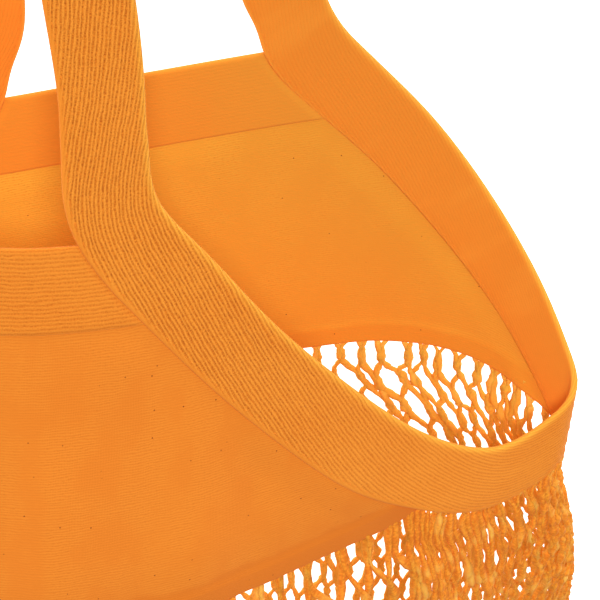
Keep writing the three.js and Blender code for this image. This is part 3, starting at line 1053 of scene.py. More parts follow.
@dataclass(frozen=True)
class SewingThread:
    """Fine thread in the tape's own colour."""

    name: str = "sewing_thread"
    light: Colour = from_screen(248, 152, 47)
    deep: Colour = from_screen(236, 130, 32)
    fibre_size: Lump = (0.9 * MM, 0.4)
    relief: float = 0.04 * MM
    sheen: float = 0.05

    def make(self) -> bpy.types.Material:
        """Builds the material.

        Returns:
            The material.
        """
        bench = NodeBench(self.name)
        along, around = bench.cloth()
        fibres = bench.noise(along, around, *self.fibre_size)
        colour = bench.mix(fibres.eased(0.3, 0.7), self.deep, self.light)
        return bench.cotton(colour, 0.75 + 0.1 * fibres, fibres, self.relief, self.sheen)


# The back panel's cotton: a lighter, yellower copy of the panel cotton, painted as lit for the bag's
# inside.
LIT_INNER_WEAVE = PlainWeave(
    "inner_cotton_painted_lit",
    light=from_screen(236, 176, 58),
    deep=from_screen(232, 168, 53),
    gap=from_screen(214, 138, 38),
    # Hem band colour: partly the double layer, partly painted shade.
    hem=from_screen(230, 143, 41),
    # Painted shade: the redder side colour is eased in along the back panel's girth.
    side=from_screen(232, 136, 40),
    side_shade_range=(-50 * MM, 100 * MM),
    fleck_spacing=19 * MM,
)
BAND_TWILL = TwillRib(
    "ribbed_twill_band",
    rib_angle=0.0,
    strength=0.55,
    rib_pitch=1.36 * MM,
    fold_at=31 * MM,
    fold_width=1.5 * MM,
    back_share=0.4,
    light=from_screen(239, 142, 43),
    deep=from_screen(224, 119, 28),
    lining=from_screen(231, 151, 48),
    relief=0.2 * MM,
    crease_highlight_share=0.1,
)


@dataclass(frozen=True)
class SoftYarn:
    """Loose cotton yarn with painted light: paler patches painted as light shining through it, the side of
    each cord that faces into the bag painted yellower and lighter as lit, and a faint painted glow.

    A lump of its noise has a length in metres and a width in turns round the cord.
    """

    name: str = "soft_cotton_yarn"
    light: Colour = from_screen(250, 156, 47)
    deep: Colour = from_screen(213, 115, 27)
    # Colour of the painted patches of light shining through the yarn.
    pale: Colour = from_screen(247, 184, 82)
    # Lit copy of the yarn's colours, painted on the side of each cord that faces into the bag.
    lit_side_light: Colour = from_screen(224, 166, 62)
    lit_side_deep: Colour = from_screen(216, 153, 52)
    inward_painted_glow: Colour = from_screen(230, 150, 54)
    outward_painted_glow: Colour = from_screen(150, 84, 20)
    # Strength of the painted glow of the yarn.
    glow: float = 0.16
    fibre_size: Lump = (4.5 * MM, 0.22)
    tuft_size: Lump = (0.9 * MM, 0.2)
    cloud_size: Lump = (13 * MM, 3.0)
    backlight_share: float = 0.8
    inward: float = 0.75
    relief: float = 0.35 * MM
    sheen: float = 0.02
    soft_share: float = 0.5
    soft_depth: float = 2.2 * MM
    soft_reach: Colour = (1.0, 0.7, 0.4)

    def make(self) -> bpy.types.Material:
        """Builds the material.

        Returns:
            The material.
        """
        bench = NodeBench(self.name)
        along, around = bench.cloth()
        fibres = bench.noise(along, around, *self.fibre_size, detail=3.0)
        tufts = bench.noise(along, around, *self.tuft_size, detail=3.0)
        cloudy = bench.noise(along, around, *self.cloud_size)
        # Painted light: the side of each cord that faces into the bag gets a lighter, yellower lit copy of
        # the yarn's colours.
        inside = (around - self.inward).wave().eased(0.15, 0.65)
        height = 0.6 * fibres + 0.7 * tufts
        shade = (0.45 * fibres + 0.55 * tufts + 0.2 * cloudy).eased(0.46, 0.76)
        outer = bench.mix(shade, self.deep, self.light)
        inner = bench.mix(shade, self.lit_side_deep, self.lit_side_light)
        colour = bench.mix(inside, outer, inner)
        # Painted light: paler, yellower patches stand in for light shining through the yarn.
        colour = bench.mix(self.backlight_share * cloudy.eased(0.53, 0.7), colour, self.pale)
        soft = {
            "Subsurface Weight": self.soft_share,
            "Subsurface Radius": self.soft_reach,
            "Subsurface Scale": self.soft_depth,
            # Painted glow: the yarn gives off a faint light of its own, brighter on the side that faces
            # into the bag.
            "Emission Color": bench.mix(inside, self.outward_painted_glow, self.inward_painted_glow),
            "Emission Strength": self.glow,
        }
        return bench.cotton(colour, 0.85 + 0.1 * fibres, height, self.relief, self.sheen, soft)


@dataclass(frozen=True)
class PaleFloor:
    """A plain white floor that is lit from within, so that it reads white under the net too."""

    name: str = "white_floor"
    colour: Colour = (0.8, 0.8, 0.8)
    roughness: float = 0.9
    glow: float = 1.3

    def make(self) -> bpy.types.Material:
        """Builds the material.

        Returns:
            The material.
        """
        inputs = {
            "Base Color": (*self.colour, 1.0),
            "Roughness": self.roughness,
            "Specular IOR Level": 0.0,
            "Emission Color": WHITE,
            "Emission Strength": self.glow,
        }
        return NodeBench(self.name).surface(inputs)


BAND_DEPTHS = {Side.BACK: 29.8 * MM, Side.FRONT: 27.3 * MM}
BAND_LIPS = {Side.BACK: 0.8 * MM, Side.FRONT: 2.5 * MM}
FOLD_SEEDS = {Side.BACK: 23, Side.FRONT: 11}


def hand_over(piece: bpy.types.Object, finish: bpy.types.Material, slot: Slot, node: str) -> None:
    """Dresses a piece and ties it to the frame.

    Args:
        piece: The piece.
        finish: Its material.
        slot: Not used.
        node: The solid that it stands for.
    """
    piece.data.materials.append(finish)
    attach(piece, BODY)
    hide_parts(node)
    LOG.info("%s: %d faces for %s", piece.name, len(piece.data.polygons), node)


@dataclass
class ClothPanel:
    """A cloth panel: a thin sheet with soft folds and a turned hem, its edges tucked into the tape."""

    side: Side
    form: BagForm
    course: TapeCourse
    thickness: float = 0.7 * MM
    tuck: float = 7 * MM
    hem_depth: float = 9 * MM
    hem_ease: Range = (-0.8 * MM, 0.4 * MM)
    hem_bulge: float = 0.45 * MM
    hem_rounding: float = 1.2 * MM
    hem_edge: float = 0.04
    hem_wave: float = 1.2 * MM
    wave_length: float = 30 * MM
    wave_seed: int = 5
    hem_fall: float = 4.5 * MM
    fall_depth: float = 32 * MM
    fall_limit: float = 1.1
    fold_height: float = 2.2 * MM
    fold_size: Lump = (24 * MM, 130 * MM)
    crease_size: Lump = (13 * MM, 30 * MM)
    crease_share: float = 0.25
    flat_top: float = 25 * MM
    front_drop: float = 5 * MM
    drop_power: int = 3
    fade: float = 16 * MM
    columns: int = 190
    rows: int = 84
    hem_rows: int = 20
    hem_crowding: float = 1.6
    cut_rows: int = 60

    @property
    def length(self) -> float:
        """Depth of the panel's hem at its lowest."""
        return self.form.panel_depth + (self.front_drop if self.side is Side.FRONT else 0.0)

    def hem_at(self, girth: Any) -> np.ndarray:
        """Depth of the panel's hem, which on the front hangs lower in its middle than at its ends.

        Args:
            girth: Places round the bag.

        Returns:
            A depth for each place.
        """
        reach = self.course.half_width(self.form.panel_depth)
        away = np.clip(np.abs(girth - self.form.middle(self.side)) / reach, 0, 1)
        return lerp(self.length, self.form.panel_depth, away**self.drop_power)

    def soft_folds(self, girth: Any, depth: Any) -> np.ndarray:
        """How far the cloth stands off its resting form, which is inwards only on the back.

        Args:
            girth: Places round the bag.
            depth: Places down the bag.

        Returns:
            Distances out of the bag.
        """
        seed = FOLD_SEEDS[self.side]
        long_folds = SoftNoise(seed, *self.fold_size).at(girth, depth)
        creases = SoftNoise(seed + 1, *self.crease_size).at(girth, depth)
        folds = lerp(long_folds, creases, self.crease_share)
        room = self.course.half_width(depth) - np.abs(girth - self.form.middle(self.side))
        kept = smooth(room, 0, self.fade) * smooth(depth, self.flat_top, self.flat_top + self.fade)
        if self.side is Side.BACK:
            return -self.fold_height * (1 + folds) / 2 * kept
        lowest = np.clip(1 - (self.hem_at(girth) - depth) / self.fall_depth, 0, self.fall_limit)
        return self.fold_height * folds * kept - self.hem_fall * lowest**2

    def _half_thickness(self, depth: np.ndarray, end: np.ndarray) -> np.ndarray:
        """Half of the sheet's thickness, with the turned hem and its round edge.

        Args:
            depth: Places down the bag.
            end: Depth of the hem's edge below each of them.

        Returns:
            Half of the thickness at each place.
        """
        hem = smooth(depth - end + self.hem_depth, *self.hem_ease)
        half = self.thickness / 2 + self.hem_bulge * hem
        to_edge = np.clip((end - depth) / self.hem_rounding, 0, 1)
        return half * rounded(to_edge, self.hem_edge)

    def build(self) -> bpy.types.Object:
        """Makes the sheet.

        Returns:
            The linked object.
        """
        hem_share = self.hem_depth / self.length
        main = np.linspace(0, 1 - hem_share, self.rows, endpoint=False)
        hem = 1 - hem_share * np.linspace(1, 0, self.hem_rows) ** self.hem_crowding
        share = np.concatenate([main, hem])[None, :]
        away = np.linspace(-1, 1, self.columns)[:, None]
        middle = self.form.middle(self.side)
        rough = middle + away * self.course.half_width(self.form.panel_depth)
        end = self.hem_at(rough) + self.hem_wave * SoftNoise(self.wave_seed, self.wave_length).at(rough)
        depth = share * end
        girth = middle + away * (self.course.half_width(depth) + self.tuck)
        half = self._half_thickness(depth, end)
        folds = self.soft_folds(girth, depth)
        outer = self.form.place(girth, depth, folds + half)
        inner = self.form.place(girth, depth, folds - half)
        rings = np.concatenate([outer, inner[:, ::-1]], axis=1)
        flat = np.stack([girth, np.broadcast_to(depth, girth.shape)], -1)
        uvs = np.concatenate([flat, flat[:, ::-1], flat[:, :1]], axis=1)
        return loft(f"{self.side.value}_cloth_panel", rings, uvs)

    def flat_size(self) -> tuple[float, float, float]:
        """Size of the panel's cut.

        Returns:
            Its width, length and area.
        """
        depth = np.linspace(0, self.length, self.cut_rows)
        width = 2 * (self.course.half_width(depth) + self.tuck)
        return float(width.max()), self.length, float(width.mean() * self.length)

    def dress(self, piece: bpy.types.Object, finish: bpy.types.Material) -> None:
        """Gives the panel its finish and works out the size of its cut.

        Args:
            piece: The panel.
            finish: Its material.
        """
        hand_over(piece, finish, Slot.PANEL, f"{self.side.value}_panel")
        width, length, area = self.flat_size()


@dataclass(frozen=True)
class FoldedSection:
    """Section of a strip folded over an edge: two leaves that thin out at their lips, and a slot."""

    reach: float
    slot_reach: float
    leaf: float
    half_slot: float
    lip: float
    lip_edge: float
    leaf_points: int
    fold_points: int = 7
    slot_points: int = 6
    crowding: float = 1.5

    def points(self) -> tuple[np.ndarray, np.ndarray, np.ndarray]:
        """Places of the section's points, round both leaves and the slot.

        Returns:
            Distances from the open edge, distances out of the cloth, and 1 for each point of the slot.
        """
        out = self.half_slot + self.leaf
        leaf = self.reach * np.linspace(0, 1, self.leaf_points) ** self.crowding
        leaf_out = self.half_slot + self.leaf * rounded(np.minimum(leaf / self.lip, 1), self.lip_edge)
        turn = np.linspace(math.pi / 2, -math.pi / 2, self.fold_points + 2)[1:-1]
        fold = self.reach + out * np.cos(turn)
        slot = np.linspace(0, self.slot_reach, self.slot_points)
        inside = np.full(self.slot_points, self.half_slot)
        from_edge = np.concatenate([leaf, fold, leaf[::-1], slot, slot[::-1]])
        outs = np.concatenate([leaf_out, out * np.sin(turn), -leaf_out[::-1], -inside, inside])
        in_slot = np.arange(len(outs)) >= len(outs) - 2 * self.slot_points
        return from_edge, outs, in_slot.astype(float)

    def lengths(self, from_edge: np.ndarray, outs: np.ndarray) -> np.ndarray:
        """Lengths round the section to each of its points and back to the first."""
        arc = arc_lengths(np.stack([from_edge, outs], 1))
        return np.append(arc, arc[-1] + self.leaf)


def flattened(outs: np.ndarray, limit: float) -> np.ndarray:
    """Returns distances to either side of the cloth, none of them past a limit."""
    return np.sign(outs) * np.minimum(np.abs(outs), limit)


@dataclass
class TopBand:
    """A strip folded over a panel's top edge, its ends under the tape."""

    side: Side
    form: BagForm
    course: TapeCourse
    depth: float
    lip: float
    lip_edge: float = 0.1
    leaf: float = 0.8 * MM
    half_slot: float = 0.45 * MM
    under_tape: float = 5 * MM
    pressed: float = 0.54 * MM
    press_ease: float = 3 * MM
    columns: int = 130
    leaf_points: int = 22

    @property
    def section(self) -> FoldedSection:
        """The band's section between its pressed ends."""
        return FoldedSection(
            reach=self.depth,
            slot_reach=self.depth - self.half_slot,
            leaf=self.leaf,
            half_slot=self.half_slot,
            lip=self.lip,
            lip_edge=self.lip_edge,
            leaf_points=self.leaf_points,
        )

    def build(self) -> bpy.types.Object:
        """Makes the folded strip, its ends pressed flat under the tape.

        Returns:
            The linked object.
        """
        section = self.section
        from_edge, outs, _ = section.points()
        depths = self.depth - from_edge
        away = np.linspace(-1, 1, self.columns)[:, None]
        reach = self.course.half_width(depths) + self.under_tape
        girth = self.form.middle(self.side) + away * reach
        to_end = (1 - np.abs(away)) * reach
        free = smooth(to_end, self.under_tape, self.under_tape + self.press_ease)
        out = lerp(flattened(outs, self.pressed), outs, free)
        rings = self.form.place(girth, np.broadcast_to(depths, girth.shape), out)
        girth = np.concatenate([girth, girth[:, :1]], axis=1)
        run = section.lengths(from_edge, outs)
        uvs = np.stack([girth, np.broadcast_to(run, girth.shape)], -1)
        return loft(f"{self.side.value}_folded_band", rings, uvs)

    def dress(self, piece: bpy.types.Object, finish: bpy.types.Material) -> None:
        """Gives the band its finish and works out its width.

        Args:
            piece: The band.
            finish: Its material.
        """
        hand_over(piece, finish, Slot.TAPE, f"{self.side.value}_top_band")
        width = 2 * float(self.course.half_width(self.depth) + self.under_tape)


@dataclass(frozen=True)
class Flare:
    """A stretch of the tape where one of its edges spreads, or draws in where the size is negative."""

    side: Side | None
    folded: bool
    size: float
    at: float
    reach: float


FLARES = (
    Flare(Side.FRONT, False, 2.5 * MM, 258 * MM, 16 * MM),
    Flare(Side.BACK, False, -2 * MM, 263 * MM, 9 * MM),
    Flare(None, False, -3 * MM, 455 * MM, 30 * MM),
    Flare(Side.FRONT, True, 1.3 * MM, 200 * MM, 25 * MM),
    Flare(Side.FRONT, True, -1.3 * MM, 252 * MM, 20 * MM),
    Flare(Side.FRONT, True, 1.5 * MM, 302 * MM, 30 * MM),
)


@dataclass
class HandleTape:
    """The folded twill tape: one closed loop of two leaves, open towards the cloth."""

    form: BagForm
    course: TapeCourse
    leaf: float = 0.9 * MM
    half_slot: float = 0.45 * MM
    shut_slot: float = 0.1 * MM
    shut_range: Range = (-30 * MM, -6 * MM)
    lip: float = 1.6 * MM
    lip_edge: float = 0.02
    edge_wave: float = 0.5 * MM
    edge_wave_length: float = 42 * MM
    edge_seed: int = 31
    lift_wave: float = 0.4 * MM
    lift_wave_length: float = 30 * MM
    lift_seed: int = 37
    flares: tuple[Flare, ...] = FLARES
    step: float = 2.6 * MM
    leaf_points: int = 20
    stitch_inset: float = 1.9 * MM
    stitch_dip: float = 0.22 * MM
    stitch_width: float = 0.6 * MM

    @property
    def section(self) -> FoldedSection:
        """The tape's section before its stitches draw it in."""
        reach = 2 * self.form.half_tape - self.half_slot - self.leaf
        return FoldedSection(
            reach=reach,
            slot_reach=reach,
            leaf=self.leaf,
            half_slot=self.half_slot,
            lip=self.lip,
            lip_edge=self.lip_edge,
            leaf_points=self.leaf_points,
        )

    def wave(self, run: Any) -> tuple[np.ndarray, np.ndarray]:
        """How the tape wavers along its length.

        Args:
            run: Distances along the loop.

        Returns:
            How far it moves sideways, and how far off the cloth.
        """
        length = self.course.length
        sideways = SoftNoise(self.edge_seed, self.edge_wave_length, period=length).at(run)
        lift = SoftNoise(self.lift_seed, self.lift_wave_length, period=length).at(run)
        return self.edge_wave * sideways, self.lift_wave * lift

    def spread(self, run: Any, across: Any) -> np.ndarray:
        """How far the flares of the tape's edges move a point across it.

        Args:
            run: Distances along the loop.
            across: Distances from the middle line towards the folded edge.

        Returns:
            Distances towards the folded edge.
        """
        length = self.course.length
        run = np.asarray(run) % length
        front = np.abs(run - length / 2) < length / 4
        from_top = np.where(front, np.abs(run - length / 2), np.minimum(run, length - run))
        to_fold = 0.5 + across / (2 * self.form.half_tape)
        moved = np.zeros(np.broadcast_shapes(run.shape, np.shape(across)))
        for flare in self.flares:
            here = True if flare.side is None else front == (flare.side is Side.FRONT)
            near = here * flare.size * np.exp(-(((from_top - flare.at) / flare.reach) ** 2))
            moved = moved + near * (to_fold if flare.folded else to_fold - 1)
        return moved

    def surface(self, run: Any, across: Any, out: Any) -> np.ndarray:
        """Points of the wavering tape."""
        sideways, lift = self.wave(run)
        return self.course.place(run, across + sideways + self.spread(run, across), out + lift)

    def build(self) -> bpy.types.Object:
        """Makes the loop.

        Returns:
            The linked object.
        """
        section = self.section
        from_edge, outs, in_slot = section.points()
        near_stitch = np.exp(-(((from_edge - self.stitch_inset) / self.stitch_width) ** 2))
        outs = outs - np.sign(outs) * (1 - in_slot) * self.stitch_dip * near_stitch
        count = round(self.course.length / self.step)
        run = np.linspace(0, self.course.length, count, endpoint=False)[:, None]
        _, depth, _ = self.course.flat_place(run, 0.0, 0.0)
        shut = (1 - smooth(depth, *self.shut_range)) * in_slot
        out = lerp(outs, flattened(outs, self.shut_slot), shut)
        across = np.broadcast_to(from_edge - self.form.half_tape, out.shape)
        rings = self.surface(run, across, out)
        full_run = np.append(run[:, 0], self.course.length)[:, None]
        uvs = np.stack(np.broadcast_arrays(full_run, section.lengths(from_edge, outs)), -1)
        return loft("folded_handle_tape", rings, uvs, loop=True)

    def dress(self, piece: bpy.types.Object, finish: bpy.types.Material) -> None:
        """Gives the tape its finish.

        Args:
            piece: The tape.
            finish: Its material.
        """
        hand_over(piece, finish, Slot.TAPE, "handle_tape")


@dataclass
class Stitching:
    """Rows of small stitches along the tape's open edge, on both of its faces."""

    tape: HandleTape
    pitch: float = 3.2 * MM
    length: float = 2.4 * MM
    radius: float = 0.16 * MM
    rise: float = 0.06 * MM
    sink: float = 0.14 * MM
    places: int = 5
    sides: int = 5

    def build(self) -> bpy.types.Object:
        """Makes all stitches as one mesh.

        Returns:
            The linked object.
        """
        tape = self.tape
        count = round(tape.course.length / self.pitch)
        starts = np.linspace(0, tape.course.length, count, endpoint=False)[:, None]
        share = np.linspace(0, 1, self.places)[None, :]
        run = starts + self.length * share
        across = np.full(run.shape, tape.stitch_inset - tape.form.half_tape)
        face = tape.half_slot + tape.leaf - tape.stitch_dip
        lift = (self.rise + self.sink) * np.sin(math.pi * share) - self.sink
        rows, ups = [], []
        for sign in (1, -1):
            out = np.broadcast_to(sign * (face + lift), run.shape)
            rows.append(tape.surface(run, across, out))
            ups.append(unit(tape.surface(run, across, out + sign * MM) - rows[-1]))
        radii = np.full((2 * count, self.places), self.radius)
        return tubes("tape_stitching", np.concatenate(rows), np.concatenate(ups), radii, self.sides)

    def dress(self, piece: bpy.types.Object, finish: bpy.types.Material) -> None:
        """Gives the stitches their finish."""
        hand_over(piece, finish, Slot.TAPE, "handle_tape")


@dataclass
class NetBody:
    """The knotted net: cords that swing to and fro and meet their neighbours at the knots."""

    form: BagForm
    course: TapeCourse
    panels: dict[Side, ClothPanel]
    cords: int = 208
    row_count: int = 18
    places_per_row: int = 12
    back_edge_row: float = -0.45
    front_edge_row: float = -0.05
    top_row: float = -0.8
    back_radius: float = 1.22 * MM
    front_radius: float = 1.5 * MM
    hidden_share: float = 0.75
    uneven: float = 0.12
    knot_swell: float = 0.28
    knot_range: Range = (0.75, 1.0)
    lump: float = 0.26
    lump_span: int = 2
    contact: float = 0.32
    plateau: float = 1.5
    tight_pitch: float = 1.8 * MM
    loose_pitch: float = 3.2 * MM
    back_density: Range = (1.0, 1.6)
    front_density: Range = (0.63, 1.9)
    density_places: int = 4000
    front_stretch: float = 0.2
    stretch_share: float = 0.1
    side_blend: float = 0.2
    bunching: float = 0.45
    bunch_width: float = 11 * MM
    back_gather: Range = (12 * MM, 58 * MM)
    front_gather: Range = (36 * MM, 48 * MM)
    spread_depth: float = 210 * MM
    behind_hem: float = 0.75 * MM
    hem_blend: Range = (0.2, 0.3)
    shown_range: Range = (-1 * MM, 3 * MM)
    girth_jitter: float = 1.4 * MM
    depth_jitter: float = 3 * MM
    loft_jitter: float = 1.2 * MM
    loft_ease: float = 22 * MM
    wobble: float = 0.45 * MM
    wobble_span: int = 4
    wobble_scale: float = 1.5
    back_drift: float = 34 * MM
    front_drift: float = 14 * MM
    drift_depth: float = 110 * MM
    sides: int = 5
    seed: int = 71

    def _resting_girth(self) -> tuple[np.ndarray, np.ndarray]:
        """Where the cords hang round the bag: gathered at the sides at the top, and even lower down.

        Returns:
            Each cord's place at its top, and its place lower down.
        """
        full = 2 * self.form.half_girth
        girth = np.linspace(0, full, self.density_places)
        from_side = np.abs(girth % self.form.half_girth - self.form.half_girth / 2)
        on_back = np.cos(math.pi * girth / self.form.half_girth) > 0
        on_backs = lerp(*self.back_density[::-1], smooth(from_side, *self.back_gather))
        on_fronts = lerp(*self.front_density[::-1], smooth(from_side, *self.front_gather))
        bunched = SoftNoise(self.seed, self.bunch_width, period=full).at(girth)
        density = np.where(on_back, on_backs, on_fronts) * (1 + self.bunching * bunched)
        share = np.concatenate([[0], np.cumsum((density[1:] + density[:-1]) / 2)])
        even = np.arange(self.cords) / self.cords
        return np.interp(even * share[-1], share, girth), even * full

    def _knot_offsets(self, rng: np.random.Generator, rows: np.ndarray, size: float) -> np.ndarray:
        """Random offsets along the cords, the same for the two cords that meet at a knot.

        Args:
            rng: The seeded source.
            rows: Places along a cord, counted in rows of knots.
            size: The largest offset.

        Returns:
            An offset for each cord at each place, eased from knot to knot.
        """
        draws = rng.uniform(-size, size, (self.cords, self.row_count + 2))
        cord = np.arange(self.cords)[:, None]
        row = np.arange(-1, self.row_count + 1)[None, :]
        leader = np.where((cord + row) % 2 == 0, cord, cord - 1) % self.cords
        offsets = draws[leader, row + 1]
        low = np.minimum(np.floor(rows).astype(int), self.row_count - 1)
        return lerp(offsets[:, low + 1], offsets[:, low + 2], smooth(rows - low, 0, 1))

    def _wobbles(self, rng: np.random.Generator, places: int, span: int) -> np.ndarray:
        """Small uneven turns of every cord, eased along it.

        Args:
            rng: The seeded source.
            places: Points along a cord.
            span: How many points an unevenness runs over.

        Returns:
            Values around zero for each cord and point, mostly from -1 to 1.
        """
        draws = rng.uniform(-1, 1, (self.cords, places + span - 1))
        windows = np.lib.stride_tricks.sliding_window_view(draws, span, axis=1)
        return windows.sum(axis=2) * math.sqrt(self.wobble_scale / span)

    def _behind(self, girth: np.ndarray, edge: np.ndarray, back: np.ndarray) -> np.ndarray:
        """How far out of the bag the cords lie at their tops, behind a hem or in the tape's slot.

        Args:
            girth: Each cord's place round the bag.
            edge: Depth of the edge that it hangs from.
            back: 1 at the middle of the back, -1 at the middle of the front.

        Returns:
            Distances out of the bag.
        """
        folds = np.where(
            back > 0,
            self.panels[Side.BACK].soft_folds(girth, edge),
            self.panels[Side.FRONT].soft_folds(girth, edge),
        )
        under_hem = smooth(np.abs(back), *self.hem_blend)
        return under_hem * (folds + self.behind_hem * np.sign(back))

    def _edge_depth(self, girth: np.ndarray, back: np.ndarray) -> np.ndarray:
        """Depth of the hem or of the tape's edge that each cord hangs from.

        Args:
            girth: Each cord's place round the bag.
            back: 1 at the middle of the back, -1 at the middle of the front.

        Returns:
            The depths.
        """
        on_back = self.panels[Side.BACK].hem_at(girth)
        on_front = self.panels[Side.FRONT].hem_at(girth % (2 * self.form.half_girth))
        return np.maximum(np.where(back > 0, on_back, on_front), self.course.open_depth(girth))

    def _hang(self, rows: np.ndarray, edge: np.ndarray, back: np.ndarray) -> tuple[np.ndarray, np.ndarray]:
        """How the cords hang before they wander.

        Args:
            rows: Places along a cord, counted in rows of knots.
            edge: Depth of the edge that each cord hangs from.
            back: 1 at the middle of the back, -1 at the middle of the front.

        Returns:
            How far below its edge each point is, and how free it is to wander.
        """
        edge_row = np.where(back > 0, self.back_edge_row, self.front_edge_row)
        down = (rows - edge_row) / (self.row_count - edge_row)
        stretch = self.front_stretch * smooth(-back, -self.side_blend, self.side_blend)
        eased = 1 - np.exp(-np.maximum(down, 0) / self.stretch_share)
        below = (self.form.net_end - edge) * ((down + stretch * eased) / (1 + stretch))
        held = smooth(rows, self.row_count - 1, self.row_count)
        return below, smooth(rows, edge_row, 1) * (1 - held)

    def _pitch(self, girth: np.ndarray) -> np.ndarray:
        """Mean distance of each cord from its two neighbours.

        Args:
            girth: Place round the bag of every point of every cord.

        Returns:
            The distance at every point.
        """
        ahead = np.roll(girth, -1, axis=0) - girth
        ahead[-1] += 2 * self.form.half_girth
        return (ahead + np.roll(ahead, 1, axis=0)) / 2

    def lay_cords(self) -> tuple[np.ndarray, np.ndarray, np.ndarray]:
        """Lays out every cord.

        Returns:
            Centres, outward directions and radii along every cord.
        """
        form = self.form
        rng = np.random.default_rng(self.seed)
        count = round((self.row_count - self.top_row) * self.places_per_row) + 1
        rows = np.linspace(self.top_row, self.row_count, count)
        gathered, even = (places[:, None] for places in self._resting_girth())
        back = np.cos(math.pi * gathered / form.half_girth)
        edge = self._edge_depth(gathered, back)
        below, hanging = self._hang(rows, edge, back)
        below = below + hanging * self._knot_offsets(rng, rows, self.depth_jitter)
        girth = lerp(gathered, even, smooth(below, 0, self.spread_depth))
        pitch = self._pitch(girth)
        radius = lerp(self.front_radius, self.back_radius, (1 + back) / 2)
        radius = radius * (1 + self.uneven * rng.uniform(-1, 1, (self.cords, 1)))
        turn = np.where(np.arange(self.cords) % 2 == 0, 1, -1)[:, None]
        swing = np.clip(self.plateau * np.cos(math.pi * rows), -1, 1) * turn
        room = np.maximum(pitch / 2 - self.contact * radius, 0)
        girth = girth + swing * room * smooth(pitch, self.tight_pitch, self.loose_pitch)
        girth = girth + hanging * self._knot_offsets(rng, rows, self.girth_jitter)
        girth = girth + self.wobble * self._wobbles(rng, count, self.wobble_span)
        drift = np.where(back > 0, self.back_drift, self.front_drift)
        girth = girth + back * drift * smooth(below, 0, self.drift_depth)
        lofted = self._knot_offsets(rng, rows, self.loft_jitter)
        lofted = lofted + self.wobble * self._wobbles(rng, count, self.wobble_span)
        lofted = np.where(back > 0, -np.abs(lofted), lofted)
        out = lerp(self._behind(gathered, edge, back), lofted, smooth(below, 0, self.loft_ease))
        lumps = self._wobbles(rng, count, self.lump_span)
        knots = smooth(np.abs(np.cos(math.pi * rows)), *self.knot_range)
        shown = lerp(self.hidden_share, 1, smooth(below, *self.shown_range))
        radii = radius * shown * (1 + self.lump * lumps + self.knot_swell * knots)
        depth = edge + below
        return form.place(girth, depth, out), form.normals(girth, depth), radii

    def build(self) -> list[bpy.types.Object]:
        """Makes the net in four parts, from the back round to the front and back again.

        Returns:
            The linked objects.
        """
        centres, ups, radii = self.lay_cords()
        names = ("net_back_right", "net_front_right", "net_front_left", "net_back_left")
        share = self.cords // len(names)
        parts = []
        for number, name in enumerate(names):
            of_part = slice(number * share, (number + 1) * share)
            parts.append(tubes(name, centres[of_part], ups[of_part], radii[of_part], self.sides))
        return parts

    def dress(self, parts: Sequence[bpy.types.Object], finish: bpy.types.Material) -> None:
        """Gives the net's parts their finish."""
        for part in parts:
            hand_over(part, finish, Slot.CORD, "net_body")


@dataclass
class FootBinding:
    """The soft binding that closes the foot of the net, puckered where the cords go in."""

    form: BagForm
    width: float = 9 * MM
    proud: float = 1.1 * MM
    squareness: float = 3.0
    end_size: float = 0.15
    end_ease: float = 24.0
    pucker: float = 0.45 * MM
    pucker_length: float = 3.4 * MM
    pucker_seed: int = 53
    sway: float = 1.6 * MM
    sway_length: float = 34 * MM
    sway_seed: int = 43
    uneven: float = 0.12
    uneven_seed: int = 47
    rings: int = 420
    places: int = 28

    def build(self) -> bpy.types.Object:
        """Makes the binding as a soft roll with round ends.

        Returns:
            The linked object.
        """
        form = self.form
        reach = float(form.table[np.searchsorted(form.rows, form.net_end)][:, 0].max())
        half_height = form.foot_height / 2 + self.proud
        end = self.width / 2
        turn = np.linspace(0, math.pi, self.rings)[:, None]
        ease = np.clip(np.sin(turn) * self.end_ease, 0, 1)
        x = -np.cos(turn) * (reach + end)
        around = np.linspace(0, 2 * math.pi, self.places, endpoint=False)[None, :]
        y, z = (
            np.sign(wave) * np.abs(wave) ** (2 / self.squareness) * half
            for wave, half in ((np.cos(around), end), (np.sin(around), half_height))
        )
        swell = 1 + self.pucker / end * SoftNoise(self.pucker_seed, self.pucker_length).at(x)
        size = swell * lerp(self.end_size, 1, rounded(ease, 0.0))
        sway = self.sway * SoftNoise(self.sway_seed, self.sway_length).at(x)
        thick = 1 + self.uneven * SoftNoise(self.uneven_seed, self.sway_length).at(x)
        swayed = float(form.sway(form.net_end))
        middle = np.array(form.origin) + [swayed, -form.net_end, form.foot_height / 2]
        rings = np.stack(np.broadcast_arrays(x, y * size + sway, z * size * thick), -1)
        rings = above_floor(rings + middle)
        girth = 2 * (self.width + 2 * half_height) * np.linspace(0, 1, self.places + 1)[None, :]
        uvs = np.stack(np.broadcast_arrays(x, girth), -1)
        return loft("foot_binding", rings, uvs)

    def dress(self, piece: bpy.types.Object, finish: bpy.types.Material) -> None:
        """Gives the binding its finish."""
        hand_over(piece, finish, Slot.CORD, "net_body")


